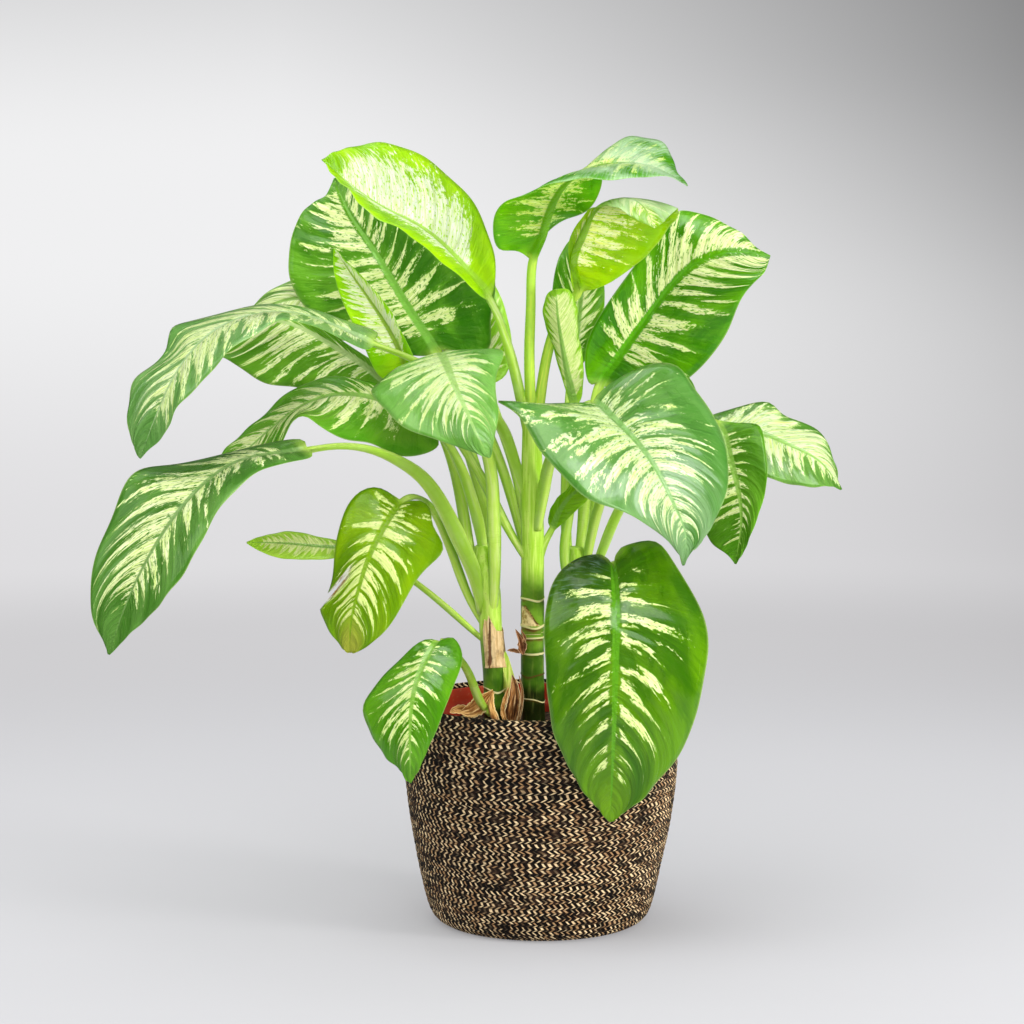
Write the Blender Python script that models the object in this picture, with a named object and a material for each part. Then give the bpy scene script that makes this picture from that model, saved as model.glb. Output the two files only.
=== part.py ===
"""Potted dieffenbachia in a braided rope basket.

A woven basket holds a plastic nursery pot, the pot holds soil, and three canes stand in plain
holes in the soil. Every leaf is one solid: its stalk leaves a cane and flattens into the blade.
Lengths in the tables are millimetres. The model itself is in metres with +Z up and the origin
at the centre of the basket's flat underside. The viewer's side of the plant is -Y.
"""
import math

import bmesh
import bpy
import numpy as np

for item in list(bpy.data.objects):
    bpy.data.objects.remove(item, do_unlink=True)

MM = 0.001
GAP = 0.3              # clear gap between pieces that touch on the real plant
BLADE = 0.9            # thickness of a blade
COLUMNS = (-1.0, -0.5, 0.0, 0.5, 1.0)
STALK_RINGS = 5
BLADE_ROWS = (0.0, 0.06, 0.14, 0.25, 0.38, 0.52, 0.66, 0.79, 0.91, 1.0)
BOW = 0.05             # how far a half blade arches, as a share of its width
CANE_SIDES = 12
BASKET_SIDES = 36
POT_SIDES = 30
BASKET_HEIGHT = 196.0
BASKET_FLOOR = 6.5
ROPE_ROWS = 14         # modelled ridges, one for every few turns of the braid
POT_BASE_Z = BASKET_FLOOR + GAP
POT_TOP_Z = 193.0
SOIL_Z = 169.0
SEED = 11

# Outside of the basket: radius at a height.
BASKET_SHAPE = [(84.0, 0.0), (93.0, 5.0), (98.0, 13.0), (101.5, 25.0), (105.0, 42.0), (111.0, 72.0),
                (116.0, 102.0), (119.4, 132.0), (120.8, 160.0), (121.0, 193.0)]
BASKET_WALL = 6.0

# Heights of the leaf scars that ring each cane.
SCARS = {
    "left": (206.0,),
    "centre": (195.0, 217.0, 236.0, 250.0, 260.0, 284.0),
    "right": (198.0, 222.0, 248.0, 272.0),
}

# Centre line and radius of each cane, from its foot in the soil to the top of its leaf sheaths.
CANES = {
    "left": [
        (-40, -5, 126, 9.8),
        (-40, -5, 176, 9.8),
        (-40, -5, 202, 10),
        (-41, -4, 227, 10.2),
        (-43, -2, 250, 9.6),
        (-44, 0, 271, 9.6),
        (-46, 0, 292, 10.6),
        (-49, 2, 313, 9.8),
        (-50, 4, 328, 8),
    ],
    "centre": [
        (-6, 4, 124, 10.2),
        (-6, 4, 176, 10.2),
        (-7, 4, 217, 10.3),
        (-7, 4, 260, 10.2),
        (-7, 4, 283, 10.2),
        (-7, 3, 303, 10),
        (-7, 2, 336, 9.8),
        (-8, 1, 371, 9.8),
        (-8, 0, 410, 8.6),
        (-9, -1, 441, 7),
        (-10, -2, 460, 6),
    ],
    "right": [
        (36, 22, 116, 10),
        (36, 22, 169, 10),
        (35, 21, 218, 10.2),
        (34, 20, 263, 10),
        (33, 20, 290, 10.4),
        (32, 19, 312, 9.6),
        (31, 19, 325, 7.5),
    ],
}
LEAVES = {
    "leaf_01": {
        "cane": "left", "radii": (9, 4.2),
        "stalk": [(-50, 0, 272), (-56, -8, 302), (-68, -18, 333), (-83, -28, 365), (-100, -40, 392),
                  (-121, -50, 409), (-144, -58, 420), (-171, -66, 424)],
        "rib": [(-197, -73, 421), (-222, -85, 418), (-252, -101, 413), (-280, -119, 395),
                (-305, -137, 366), (-326, -151, 331), (-343, -159, 293), (-355, -161, 258)],
        "left": [(-193, -81, 416), (-202, -99, 413), (-223, -127, 411), (-247, -155, 395),
                 (-274, -175, 360), (-291, -183, 326), (-310, -181, 302), (-332, -171, 280)],
        "right": [(-202, -65, 428), (-231, -59, 425), (-269, -63, 415), (-314, -77, 407),
                  (-342, -99, 401), (-356, -119, 373), (-367, -137, 342), (-371, -149, 310),
                  (-367, -157, 284), (-360, -160, 269)],
    },
    "leaf_02": {
        "cane": "centre", "radii": (6, 4),
        "stalk": [(-11, 0, 367), (-23, 2, 406), (-37, 8, 439), (-63, 12, 464), (-92, 8, 484),
                  (-120, -4, 499)],
        "rib": [(-144, -20, 509), (-168, -28, 520), (-198, -38, 532), (-226, -50, 536),
                (-255, -64, 531), (-280, -78, 517), (-303, -92, 490), (-320, -102, 454),
                (-335, -106, 415)],
        "left": [(-150, -34, 503), (-167, -52, 511), (-191, -72, 524), (-214, -92, 531),
                 (-235, -110, 519), (-262, -122, 501), (-282, -128, 479), (-297, -128, 462),
                 (-312, -120, 438), (-324, -112, 425)],
        "right": [(-141, -8, 516), (-166, 2, 526), (-196, 6, 536), (-235, 2, 542), (-273, -14, 534),
                  (-301, -30, 527), (-315, -44, 520), (-317, -58, 505), (-332, -70, 491),
                  (-344, -80, 478), (-346, -90, 459), (-345, -98, 437), (-340, -103, 423)],
    },
    "leaf_03": {
        "cane": "left", "radii": (6, 4),
        "stalk": [(-50, 4, 290), (-60, 14, 317), (-67, 26, 351), (-76, 36, 395), (-91, 50, 434),
                  (-107, 58, 454)],
        "rib": [(-129, 62, 464), (-156, 54, 486), (-186, 44, 506), (-212, 36, 521), (-237, 28, 527),
                (-263, 22, 522), (-293, 18, 503)],
        "left": [(-134, 54, 457), (-164, 44, 460), (-194, 32, 464), (-220, 24, 469), (-241, 18, 472),
                 (-260, 14, 484), (-278, 12, 495), (-289, 14, 500)],
        "right": [(-134, 66, 478), (-159, 62, 498), (-182, 58, 512), (-209, 54, 528), (-235, 48, 536),
                  (-265, 38, 532), (-283, 28, 518)],
    },
    "leaf_04": {
        "cane": "left", "radii": (6, 4),
        "stalk": [(-49, 3, 316), (-53, 0, 345), (-61, -4, 376), (-74, 2, 410)],
        "rib": [(-91, 5, 432), (-118, 0, 450), (-146, -8, 461), (-176, -14, 464), (-205, -20, 455),
                (-234, -24, 434), (-260, -24, 411), (-288, -18, 388)],
        "left": [(-89, -6, 419), (-120, -26, 411), (-147, -42, 424), (-167, -50, 428),
                 (-188, -54, 438), (-203, -54, 446), (-220, -48, 429), (-237, -42, 409),
                 (-260, -36, 395), (-279, -26, 387)],
        "right": [(-97, 10, 442), (-119, 14, 463), (-145, 14, 474), (-175, 14, 479), (-208, 10, 470),
                  (-227, 6, 458), (-253, -2, 437), (-275, -8, 413), (-287, -14, 398)],
    },
    "leaf_05": {
        "cane": "left", "radii": (7, 5),
        "stalk": [(-46, 6, 289), (-42, 22, 314), (-48, 38, 359), (-66, 56, 420)],
        "rib": [(-92, 68, 498), (-107, 76, 522), (-126, 86, 550), (-153, 104, 593), (-172, 118, 620),
                (-187, 136, 654)],
        "left": [(-103, 72, 494), (-139, 78, 501), (-176, 82, 524), (-201, 84, 532), (-213, 86, 540),
                 (-224, 90, 561), (-226, 92, 581), (-221, 100, 609), (-206, 116, 631), (-194, 126, 640)],
        "right": [(-80, 66, 497), (-47, 72, 499), (-44, 78, 524), (-40, 84, 553), (-45, 92, 580),
                  (-58, 100, 605), (-86, 110, 627), (-122, 120, 645), (-159, 130, 656)],
    },
    "leaf_06": {
        "cane": "centre", "radii": (5, 4.2),
        "stalk": [(-11, 2, 423), (-17, -2, 458), (-25, -4, 493), (-33, -5, 521)],
        "rib": [(-44, -8, 547), (-64, -12, 571), (-86, -14, 594), (-109, -14, 611), (-133, -12, 623),
                (-160, -8, 641), (-189, -2, 666)],
        "left": [(-53, -20, 549), (-74, -36, 570), (-99, -48, 590), (-124, -52, 607), (-150, -48, 624),
                 (-172, -30, 646)],
        "right": [(-40, -6, 558), (-40, 4, 580), (-46, 14, 601), (-59, 26, 630), (-87, 36, 660),
                  (-119, 38, 677), (-150, 30, 681), (-172, 14, 676)],
    },
    "leaf_07": {
        "cane": "left", "radii": (7, 4.5),
        "stalk": [(-43, -3, 271), (-41, -9, 288), (-40, -12, 320), (-41, -16, 364), (-46, -20, 412),
                  (-65, -14, 457), (-80, -5, 488)],
        "rib": [(-86, -22, 501), (-84, -45, 498), (-78, -75, 487), (-71, -104, 472), (-62, -130, 455),
                (-53, -147, 436), (-43, -152, 419)],
        "left": [(-66, -18, 502), (-42, -28, 504), (-32, -44, 502), (-38, -78, 483), (-38, -108, 464),
                 (-37, -132, 444), (-40, -146, 431)],
        "right": [(-104, -22, 494), (-124, -34, 487), (-139, -52, 475), (-144, -66, 468),
                  (-131, -92, 455), (-116, -112, 442), (-93, -130, 434), (-66, -146, 426)],
    },
    "leaf_08": {
        "cane": "centre", "radii": (5, 3.6),
        "stalk": [(-12, 0, 318), (-28, 2, 345), (-46, 10, 379), (-66, 20, 413), (-90, 34, 443)],
        "rib": [(-113, 44, 469), (-124, 40, 499), (-137, 34, 525), (-151, 30, 546), (-167, 30, 569),
                (-181, 32, 590)],
        "left": [(-124, 38, 471), (-141, 32, 477), (-153, 26, 500), (-164, 22, 523), (-174, 22, 545),
                 (-181, 26, 569)],
        "right": [(-108, 38, 481), (-113, 32, 499), (-125, 26, 523), (-136, 24, 542), (-153, 26, 562),
                  (-169, 28, 578)],
    },
    "leaf_09": {
        "cane": "centre", "radii": (5, 4.2),
        "stalk": [(-7, -2, 415), (-9, -6, 459), (-10, -10, 502), (-9, -18, 543)],
        "rib": [(-7, -30, 581), (0, -38, 598), (6, -46, 618), (16, -50, 639), (33, -50, 654),
                (60, -48, 661), (92, -52, 659), (123, -60, 642)],
        "left": [(3, -26, 600), (23, -22, 615), (42, -18, 625), (52, -6, 642), (56, 0, 661),
                 (70, 2, 685), (94, 0, 684), (109, -12, 674), (116, -36, 656)],
        "right": [(-21, -36, 587), (-36, -38, 589), (-41, -44, 607), (-36, -56, 623), (-14, -72, 636),
                  (15, -88, 644), (48, -94, 646), (82, -88, 649), (106, -76, 648)],
    },
    "leaf_10": {
        "cane": "centre", "radii": (5, 4.2),
        "stalk": [(-5, 0, 415), (0, 4, 463), (5, 0, 495), (13, -8, 524), (23, -16, 543)],
        "rib": [(32, -26, 554), (27, -34, 575), (34, -42, 598), (44, -54, 620), (61, -72, 631),
                (81, -92, 627), (93, -104, 606)],
        "left": [(47, -30, 555), (74, -22, 570), (94, -18, 587), (109, -20, 605), (117, -40, 620),
                 (111, -66, 620), (102, -90, 612)],
        "right": [(26, -34, 559), (24, -34, 578), (24, -38, 597), (33, -50, 613), (47, -70, 625),
                  (61, -92, 623), (77, -104, 614)],
    },
    "leaf_11": {
        "cane": "right", "radii": (6, 4.5),
        "stalk": [(33, 20, 316), (37, 26, 342), (42, 30, 404)],
        "rib": [(52, 25, 470), (63, 22, 488), (87, 16, 521), (108, 10, 550), (129, 2, 573),
                (159, -8, 586), (197, -18, 583)],
        "left": [(42, 18, 473), (39, 14, 500), (50, 8, 529), (69, 4, 558), (86, 6, 581),
                 (104, 10, 604), (119, 14, 622), (142, 16, 620), (168, 4, 606), (186, -8, 591)],
        "right": [(74, 26, 468), (103, 16, 465), (130, 4, 478), (159, -14, 515), (175, -24, 551),
                  (190, -24, 567)],
    },
    "leaf_12": {
        "cane": "right", "radii": (5, 3.8),
        "stalk": [(31, 16, 279), (21, 4, 318), (27, 4, 371), (32, -4, 424)],
        "rib": [(29, -12, 455), (23, -20, 481), (18, -28, 507), (14, -36, 533), (13, -40, 555)],
        "left": [(22, -14, 466), (14, -16, 492), (5, -20, 520), (2, -28, 541), (6, -35, 552)],
        "right": [(36, -8, 463), (36, -12, 494), (32, -18, 524), (29, -28, 546), (22, -36, 555)],
    },
    "leaf_13": {
        "cane": "centre", "radii": (6, 4.5),
        "stalk": [(-3, -6, 345), (4, -16, 390), (10, -24, 412), (25, -32, 436)],
        "rib": [(42, -40, 458), (61, -66, 446), (78, -92, 429), (94, -114, 408), (109, -132, 378),
                (118, -140, 353), (116, -140, 329)],
        "left": [(50, -34, 467), (78, -30, 485), (114, -36, 490), (129, -52, 472), (146, -72, 449),
                 (154, -92, 426), (155, -110, 401), (149, -124, 378), (135, -134, 352),
                 (123, -139, 340)],
        "right": [(16, -46, 457), (-18, -62, 459), (-38, -76, 461), (-22, -90, 452), (-4, -112, 426),
                  (15, -128, 404), (34, -138, 386), (55, -146, 377), (84, -150, 365), (109, -146, 343)],
    },
    "leaf_14": {
        "cane": "right", "radii": (5, 3.8),
        "stalk": [(36, 20, 288), (44, 11, 335), (57, 8, 379), (87, 8, 419), (121, -8, 438)],
        "rib": [(151, -20, 439), (161, -34, 417), (168, -46, 388), (171, -54, 359), (166, -56, 321)],
        "left": [(172, -22, 440), (187, -32, 439), (192, -46, 418), (193, -56, 397), (188, -62, 376),
                 (182, -62, 355), (174, -60, 335)],
        "right": [(139, -20, 432), (132, -24, 412), (132, -32, 387), (136, -42, 362), (146, -50, 338),
                  (159, -55, 329)],
    },
    "leaf_15": {
        "cane": "right", "radii": (5, 4),
        "stalk": [(38, 24, 282), (55, 30, 324), (71, 36, 361), (97, 32, 397), (123, 22, 420)],
        "rib": [(145, 10, 433), (169, 2, 434), (197, -6, 428), (220, -14, 418), (241, -20, 406),
                (259, -26, 382)],
        "left": [(145, 18, 442), (177, 26, 451), (202, 26, 454), (214, 18, 443), (240, 8, 435),
                 (250, -4, 421), (255, -18, 400)],
        "right": [(149, -2, 422), (170, -22, 406), (195, -34, 393), (218, -40, 388), (238, -40, 385),
                  (250, -34, 386)],
    },
    "leaf_16": {
        "cane": "right", "radii": (7, 4.5),
        "stalk": [(33, 16, 237), (36, -8, 275), (44, -44, 306), (52, -74, 321)],
        "rib": [(59, -95, 327), (61, -122, 311), (61, -146, 285), (60, -160, 253), (59, -168, 220),
                (58, -168, 184), (57, -162, 150), (56, -156, 118)],
        "left": [(64, -92, 336), (78, -84, 342), (96, -84, 343), (109, -96, 330), (124, -112, 308),
                 (134, -128, 286), (137, -140, 263), (134, -148, 242), (127, -154, 211),
                 (116, -156, 178), (97, -156, 154), (76, -156, 132)],
        "right": [(53, -96, 332), (39, -92, 333), (24, -98, 328), (11, -110, 314), (4, -122, 294),
                  (2, -132, 273), (2, -142, 247), (5, -150, 217), (10, -154, 192), (19, -157, 168),
                  (34, -158, 144), (48, -157, 126)],
    },
    "leaf_17": {
        "cane": "left", "radii": (4.5, 3),
        "stalk": [(-41, -6, 180), (-53, -30, 199), (-61, -55, 224), (-71, -82, 246)],
        "rib": [(-85, -105, 262), (-97, -122, 248), (-106, -140, 225), (-109, -150, 198),
                (-109, -152, 171), (-109, -148, 149)],
        "left": [(-75, -104, 264), (-67, -112, 253), (-70, -128, 235), (-80, -142, 212),
                 (-90, -150, 187), (-100, -151, 165)],
        "right": [(-98, -108, 263), (-119, -112, 248), (-135, -118, 230), (-148, -124, 210),
                  (-146, -132, 193), (-135, -140, 177), (-121, -146, 162)],
    },
    "leaf_18": {
        "cane": "left", "radii": (4.6, 3.5),
        "stalk": [(-46, 2, 255), (-62, 12, 282), (-75, 18, 315), (-90, 4, 355), (-104, -26, 376)],
        "rib": [(-118, -55, 375), (-132, -74, 357), (-145, -88, 332), (-154, -97, 304),
                (-160, -98, 278), (-162, -94, 250)],
        "left": [(-105, -54, 375), (-95, -58, 369), (-92, -68, 355), (-83, -76, 337), (-94, -84, 323),
                 (-108, -92, 307), (-123, -98, 281), (-140, -99, 261), (-155, -96, 251)],
        "right": [(-126, -53, 380), (-138, -52, 386), (-152, -56, 384), (-163, -62, 374),
                  (-170, -70, 358), (-176, -80, 327), (-183, -86, 295), (-187, -88, 287),
                  (-178, -92, 268), (-168, -94, 253)],
    },
    "leaf_19": {
        "cane": "left", "radii": (3.5, 2.2),
        "stalk": [(-44, 2, 242), (-62, -6, 259), (-81, -12, 277), (-108, -18, 300), (-135, -26, 319)],
        "rib": [(-163, -32, 331), (-190, -36, 334), (-220, -40, 337), (-253, -42, 338)],
        "left": [(-169, -40, 326), (-191, -48, 324), (-219, -52, 325), (-239, -48, 330)],
        "right": [(-169, -28, 336), (-193, -26, 342), (-219, -28, 346), (-240, -36, 343)],
    },
    "leaf_20": {
        "cane": "centre", "radii": (4, 3),
        "stalk": [(-4, 2, 309), (4, 2, 334)],
        "rib": [(10, 0, 346), (18, -10, 365), (32, -18, 381), (51, -22, 392)],
        "left": [(6, 2, 355), (12, -6, 369), (20, -10, 380), (34, -14, 390)],
        "right": [(22, -10, 354), (36, -22, 369), (47, -24, 382)],
    },
    "leaf_21": {
        "cane": "right", "radii": (5, 4),
        "stalk": [(30, 24, 285), (24, 38, 328), (23, 46, 394)],
        "rib": [(28, 50, 481), (32, 56, 513), (36, 62, 544), (41, 68, 575), (52, 74, 605)],
        "left": [(19, 48, 487), (10, 52, 513), (10, 58, 544), (14, 64, 573), (25, 72, 596),
                 (38, 74, 604)],
        "right": [(39, 46, 490), (51, 50, 513), (57, 54, 537), (57, 62, 562), (56, 70, 589)],
    },
    "leaf_22": {
        "cane": "centre", "radii": (5, 4),
        "stalk": [(-10, 10, 330), (-20, 34, 386), (-34, 54, 429)],
        "rib": [(-47, 72, 468), (-50, 92, 490), (-56, 108, 516), (-63, 122, 543), (-74, 134, 571)],
        "left": [(-65, 80, 472), (-79, 102, 503), (-89, 120, 534), (-85, 132, 558)],
        "right": [(-31, 74, 477), (-25, 92, 503), (-29, 106, 527), (-36, 120, 548), (-52, 132, 566)],
    },
    "leaf_23": {
        "cane": "centre", "radii": (5, 4),
        "stalk": [(-8, 10, 300), (-25, 40, 368), (-52, 66, 437), (-90, 96, 490)],
        "rib": [(-127, 116, 521), (-168, 122, 539), (-202, 126, 545), (-232, 124, 543),
                (-259, 118, 530), (-279, 108, 509)],
        "left": [(-138, 108, 503), (-176, 106, 507), (-217, 104, 509), (-251, 100, 509),
                 (-267, 100, 504)],
        "right": [(-132, 128, 536), (-164, 136, 557), (-196, 138, 569), (-224, 134, 562),
                  (-246, 128, 551), (-265, 118, 534), (-274, 112, 520)],
    },
    "leaf_24": {
        "cane": "right", "radii": (5, 4),
        "stalk": [(33, 26, 287), (38, 44, 322), (47, 62, 370), (63, 76, 428)],
        "rib": [(82, 92, 461), (99, 112, 469), (116, 134, 463), (131, 154, 443), (139, 168, 416)],
        "left": [(87, 94, 475), (111, 112, 485), (138, 134, 472), (147, 154, 447), (145, 164, 428)],
        "right": [(78, 98, 450), (85, 124, 445), (98, 146, 432), (113, 160, 421), (127, 166, 415)],
    },
}

# Dry scales and a young side sheath at the cane feet: path points with half width.
SCALES = {
    "side_sheath": {
        "cane": "left", "bulge": 0.35, "side": (0.3, 1.0, 0.0), "colour": (0.3, 0.5, 0.12),
        "path": [(-30, -6, 196, 5.0), (-26, -8, 210, 5.5), (-25, -8, 222, 4.0), (-26, -7, 233, 1.5)],
    },
    "dry_scale_front": {
        "cane": "left", "bulge": 0.3, "side": (1.0, 0.4, 0.0), "colour": (0.55, 0.42, 0.26),
        "path": [(-34, -12, 177, 5.5), (-27, -17, 189, 6.0), (-21, -18, 203, 4.5), (-19, -15, 214, 1.5)],
    },
    "dry_scale_left": {
        "cane": "left", "bulge": 0.3, "side": (0.2, 1.0, 0.0), "colour": (0.33, 0.2, 0.1),
        "path": [(-48, -10, 177, 5.5), (-56, -15, 188, 6.5), (-58, -17, 197, 5.0), (-52, -20, 203, 2.0)],
    },
}


def curve(points, per_span=20):
    """Natural cubic through the points, and the sample index of each point."""
    p = np.asarray(points, float)
    knots = np.r_[0.0, np.cumsum(np.sqrt(np.linalg.norm(np.diff(p, axis=0), axis=1)))]
    count = len(p)
    span = np.diff(knots)
    matrix = np.zeros((count, count))
    rhs = np.zeros_like(p)
    matrix[0, 0] = 1.0
    matrix[-1, -1] = 1.0
    for i in range(1, count - 1):
        matrix[i, i - 1] = span[i - 1]
        matrix[i, i] = 2.0 * (span[i - 1] + span[i])
        matrix[i, i + 1] = span[i]
        rhs[i] = 6.0 * ((p[i + 1] - p[i]) / span[i] - (p[i] - p[i - 1]) / span[i - 1])
    bend = np.linalg.solve(matrix, rhs)
    out = []
    for i in range(count - 1):
        h = span[i]
        for u in np.linspace(0.0, h, per_span, endpoint=False):
            a = h - u
            out.append((bend[i] * a ** 3 + bend[i + 1] * u ** 3) / (6.0 * h)
                       + (p[i] / h - bend[i] * h / 6.0) * a
                       + (p[i + 1] / h - bend[i + 1] * h / 6.0) * u)
    out.append(p[-1])
    return np.array(out), [i * per_span for i in range(count)]


def resample(line, fractions):
    """Points at fractions of the line's length."""
    run = np.r_[0.0, np.cumsum(np.linalg.norm(np.diff(line, axis=0), axis=1))]
    run = run / run[-1]
    return np.stack([np.interp(fractions, run, line[:, k]) for k in range(3)], axis=1)


def unit(v):
    return v / np.maximum(np.linalg.norm(v, axis=-1, keepdims=True), 1e-9)


def across(v, along):
    """The part of v that is square to along, at length one."""
    along = unit(along)
    return unit(v - np.sum(v * along, axis=-1, keepdims=True) * along)


def blade(row, fractions, columns):
    """Middle surface of a blade as rows by columns, with its unit normals and half widths."""
    rib = resample(row["axis"][row["base"]:], fractions)
    base = row["rib"][0]
    tip = row["rib"][-1]
    start = row["side"] * row["radii"][1]
    left = curve(np.vstack([base + start, row["left"], tip + row["tip_side"] * 0.8]))[0]
    right = curve(np.vstack([base - start, row["right"], tip - row["tip_side"] * 0.8]))[0]
    left = resample(left, fractions)
    right = resample(right, fractions)
    cols = np.asarray(columns)
    grid = np.where(cols[None, :, None] >= 0.0,
                    rib[:, None] + (left - rib)[:, None] * np.abs(cols)[None, :, None],
                    rib[:, None] + (right - rib)[:, None] * np.abs(cols)[None, :, None])
    down = np.gradient(rib, axis=0)[:, None] + np.zeros_like(grid)
    out = np.gradient(grid, cols, axis=1)
    normal = unit(np.cross(down, out))
    width = np.where(cols[None, :] >= 0.0, np.linalg.norm(left - rib, axis=1)[:, None],
                     np.linalg.norm(right - rib, axis=1)[:, None])
    arch = 4.0 * np.abs(cols) * (1.0 - np.abs(cols))
    grid = grid + normal * (BOW * width * arch[None, :])[..., None]
    return grid, normal, width


def prepare(row):
    """Turns a table entry into arrays and adds the frame at the blade's base and tip."""
    out = {key: np.asarray(row[key], float) for key in ("stalk", "rib", "left", "right")}
    out["radii"] = row["radii"]
    axis, marks = curve(np.vstack([out["stalk"], out["rib"]]))
    out["axis"] = axis
    out["base"] = marks[len(row["stalk"])]
    along = axis[out["base"] + 6] - axis[out["base"] - 6]
    out["side"] = across(out["left"][1] - out["right"][1], along)
    out["tip_side"] = across(out["left"][-1] - out["right"][-1], axis[-1] - axis[-8])
    return out


def leaf_rings(row):
    """Closed rings from the stalk's root to the blade's tip: upper points, then lower ones."""
    row = prepare(row)
    count = len(COLUMNS)
    start, end = row["radii"]
    share = np.linspace(0.0, 1.0, STALK_RINGS + 1)[:-1]
    stalk = row["axis"][:row["base"] + 1]
    middle = resample(stalk, share)
    along = unit(resample(stalk, np.minimum(share + 0.02, 1.0)) - resample(stalk, np.maximum(share - 0.02, 0.0)))
    radius = end + (start - end) * (1.0 - share) ** 1.3
    radius = radius * np.interp(share, (0.0, 0.3), (0.6, 1.0))
    side = across(np.broadcast_to(row["side"], along.shape), along)
    top = np.cross(along, side)
    angles = np.radians(162.0 - 36.0 * np.arange(count))
    angles = np.r_[angles, -angles[::-1]]
    rings = []
    for k in range(len(share)):
        rings.append([middle[k] + radius[k] * (math.cos(a) * side[k] + math.sin(a) * top[k])
                      for a in angles])
    grid, normal, width = blade(row, np.array(BLADE_ROWS), COLUMNS)
    side0 = row["side"]
    top0 = np.cross(unit(row["axis"][row["base"] + 6] - row["axis"][row["base"] - 6]), side0)
    base = row["rib"][0]
    rings.append([base + end * (math.cos(a) * side0 + math.sin(a) * top0) for a in angles])
    for k in range(1, len(BLADE_ROWS)):
        t = BLADE_ROWS[k]
        upper = grid[k] + normal[k] * BLADE * 0.5
        keel = np.where(np.array(COLUMNS) == 0.0, 0.9 * end * (1.0 - t) ** 1.6, 0.0)
        lower = grid[k] - normal[k] * (BLADE * 0.5 + keel)[:, None]
        rings.append(list(upper) + list(lower[::-1]))
    return rings


def material(name, colour, rough):
    mat = bpy.data.materials.new(name)
    mat.use_nodes = True
    shader = mat.node_tree.nodes["Principled BSDF"]
    shader.inputs["Base Color"].default_value = (*colour, 1.0)
    shader.inputs["Roughness"].default_value = rough
    mat.diffuse_color = (*colour, 1.0)
    return mat


def add(name, points, faces, colour=None, rough=0.6):
    """One object from points in millimetres; a cutter when it has no colour."""
    mesh = bpy.data.meshes.new(name)
    mesh.from_pydata([tuple(float(c) * MM for c in p) for p in points], [], faces)
    work = bmesh.new()
    work.from_mesh(mesh)
    bmesh.ops.recalc_face_normals(work, faces=work.faces)
    work.to_mesh(mesh)
    work.free()
    obj = bpy.data.objects.new(name, mesh)
    bpy.context.scene.collection.objects.link(obj)
    if colour is None:
        obj.hide_render = True
        obj.display_type = "WIRE"
    else:
        mesh.materials.append(material(name, colour, rough))
    return obj


def cut(obj, cutter):
    step = obj.modifiers.new("cut_" + cutter.name, "BOOLEAN")
    step.operation = "DIFFERENCE"
    step.solver = "EXACT"
    step.object = cutter


def band(faces, first, second, split=False):
    """Faces between two rings of point numbers. A split blade has the same cut on both faces."""
    count = len(first)
    for j in range(count):
        k = (j + 1) % count
        if split and j >= count // 2:
            faces.append((first[j], first[k], second[j]))
            faces.append((first[k], second[k], second[j]))
        elif split:
            faces.append((first[j], first[k], second[k]))
            faces.append((first[j], second[k], second[j]))
        else:
            faces.append((first[j], first[k], second[k], second[j]))


def add_leaf(name, row, colour):
    rings = leaf_rings(row)
    count = len(rings[0])
    points = [p for ring in rings for p in ring]
    faces = []
    for i in range(len(rings) - 1):
        band(faces, list(range(i * count, (i + 1) * count)),
             list(range((i + 1) * count, (i + 2) * count)), split=True)
    for first in (0, (len(rings) - 1) * count):
        for j in range(count // 2 - 1):
            a, b = first + j, first + j + 1
            c, d = first + count - 2 - j, first + count - 1 - j
            faces.append((a, b, c))
            faces.append((a, c, d))
    return add(name, points, faces, colour, 0.4)


def cane_profile(key):
    """Centre points and radii of a cane, with a raised ring at every leaf scar."""
    table = np.asarray(CANES[key], float)
    z_old = table[:, 2]
    heights = list(z_old)
    for z in SCARS[key]:
        heights = [h for h in heights if abs(h - z) > 4.0] + [z - 2.6, z - 0.7, z + 0.7, z + 2.6]
    heights = sorted(heights)
    line = curve(table[:, :3])[0]
    centre = np.stack([np.interp(heights, line[:, 2], line[:, k]) for k in range(3)], axis=1)
    radius = np.interp(heights, z_old, table[:, 3])
    for z in SCARS[key]:
        radius += np.where(np.abs(np.array(heights) - z) < 1.0, 0.7, 0.0)
    return centre, radius


def add_cane(name, key, extra, colour=None):
    """A cane, or with no colour the cutter that is larger by extra all round."""
    centre, radius = cane_profile(key)
    centre = centre.copy()
    top = centre[-1] + np.array([0.0, 0.0, radius[-1] * 0.45])
    centre = np.vstack([centre, top])
    radius = np.r_[radius, radius[-1] * 0.55] + extra
    centre[0, 2] -= extra
    centre[-1, 2] += extra
    points = []
    for c, r in zip(centre, radius):
        for j in range(CANE_SIDES):
            a = math.tau * (j + 0.5) / CANE_SIDES
            points.append(c + r * np.array([math.cos(a), math.sin(a), 0.0]))
    faces = []
    n = CANE_SIDES
    for i in range(len(centre) - 1):
        band(faces, list(range(i * n, (i + 1) * n)), list(range((i + 1) * n, (i + 2) * n)))
    faces.append(tuple(range(n)))
    faces.append(tuple(range((len(centre) - 1) * n, len(centre) * n)))
    return add(name, points, faces, colour, 0.5)


def lathe(name, profile, sides, colour, rough):
    """Turned solid from a closed outline whose first and last points are on the axis."""
    points = [(0.0, 0.0, profile[0][1])]
    rings = []
    for r, z in profile[1:-1]:
        rings.append(list(range(len(points), len(points) + sides)))
        for j in range(sides):
            a = math.tau * j / sides
            points.append((r * math.cos(a), r * math.sin(a), z))
    points.append((0.0, 0.0, profile[-1][1]))
    last = len(points) - 1
    faces = []
    for first, second in zip(rings, rings[1:]):
        band(faces, first, second)
    for j in range(sides):
        k = (j + 1) % sides
        faces.append((0, rings[0][j], rings[0][k]))
        faces.append((last, rings[-1][j], rings[-1][k]))
    return add(name, points, faces, colour, rough)


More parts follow.
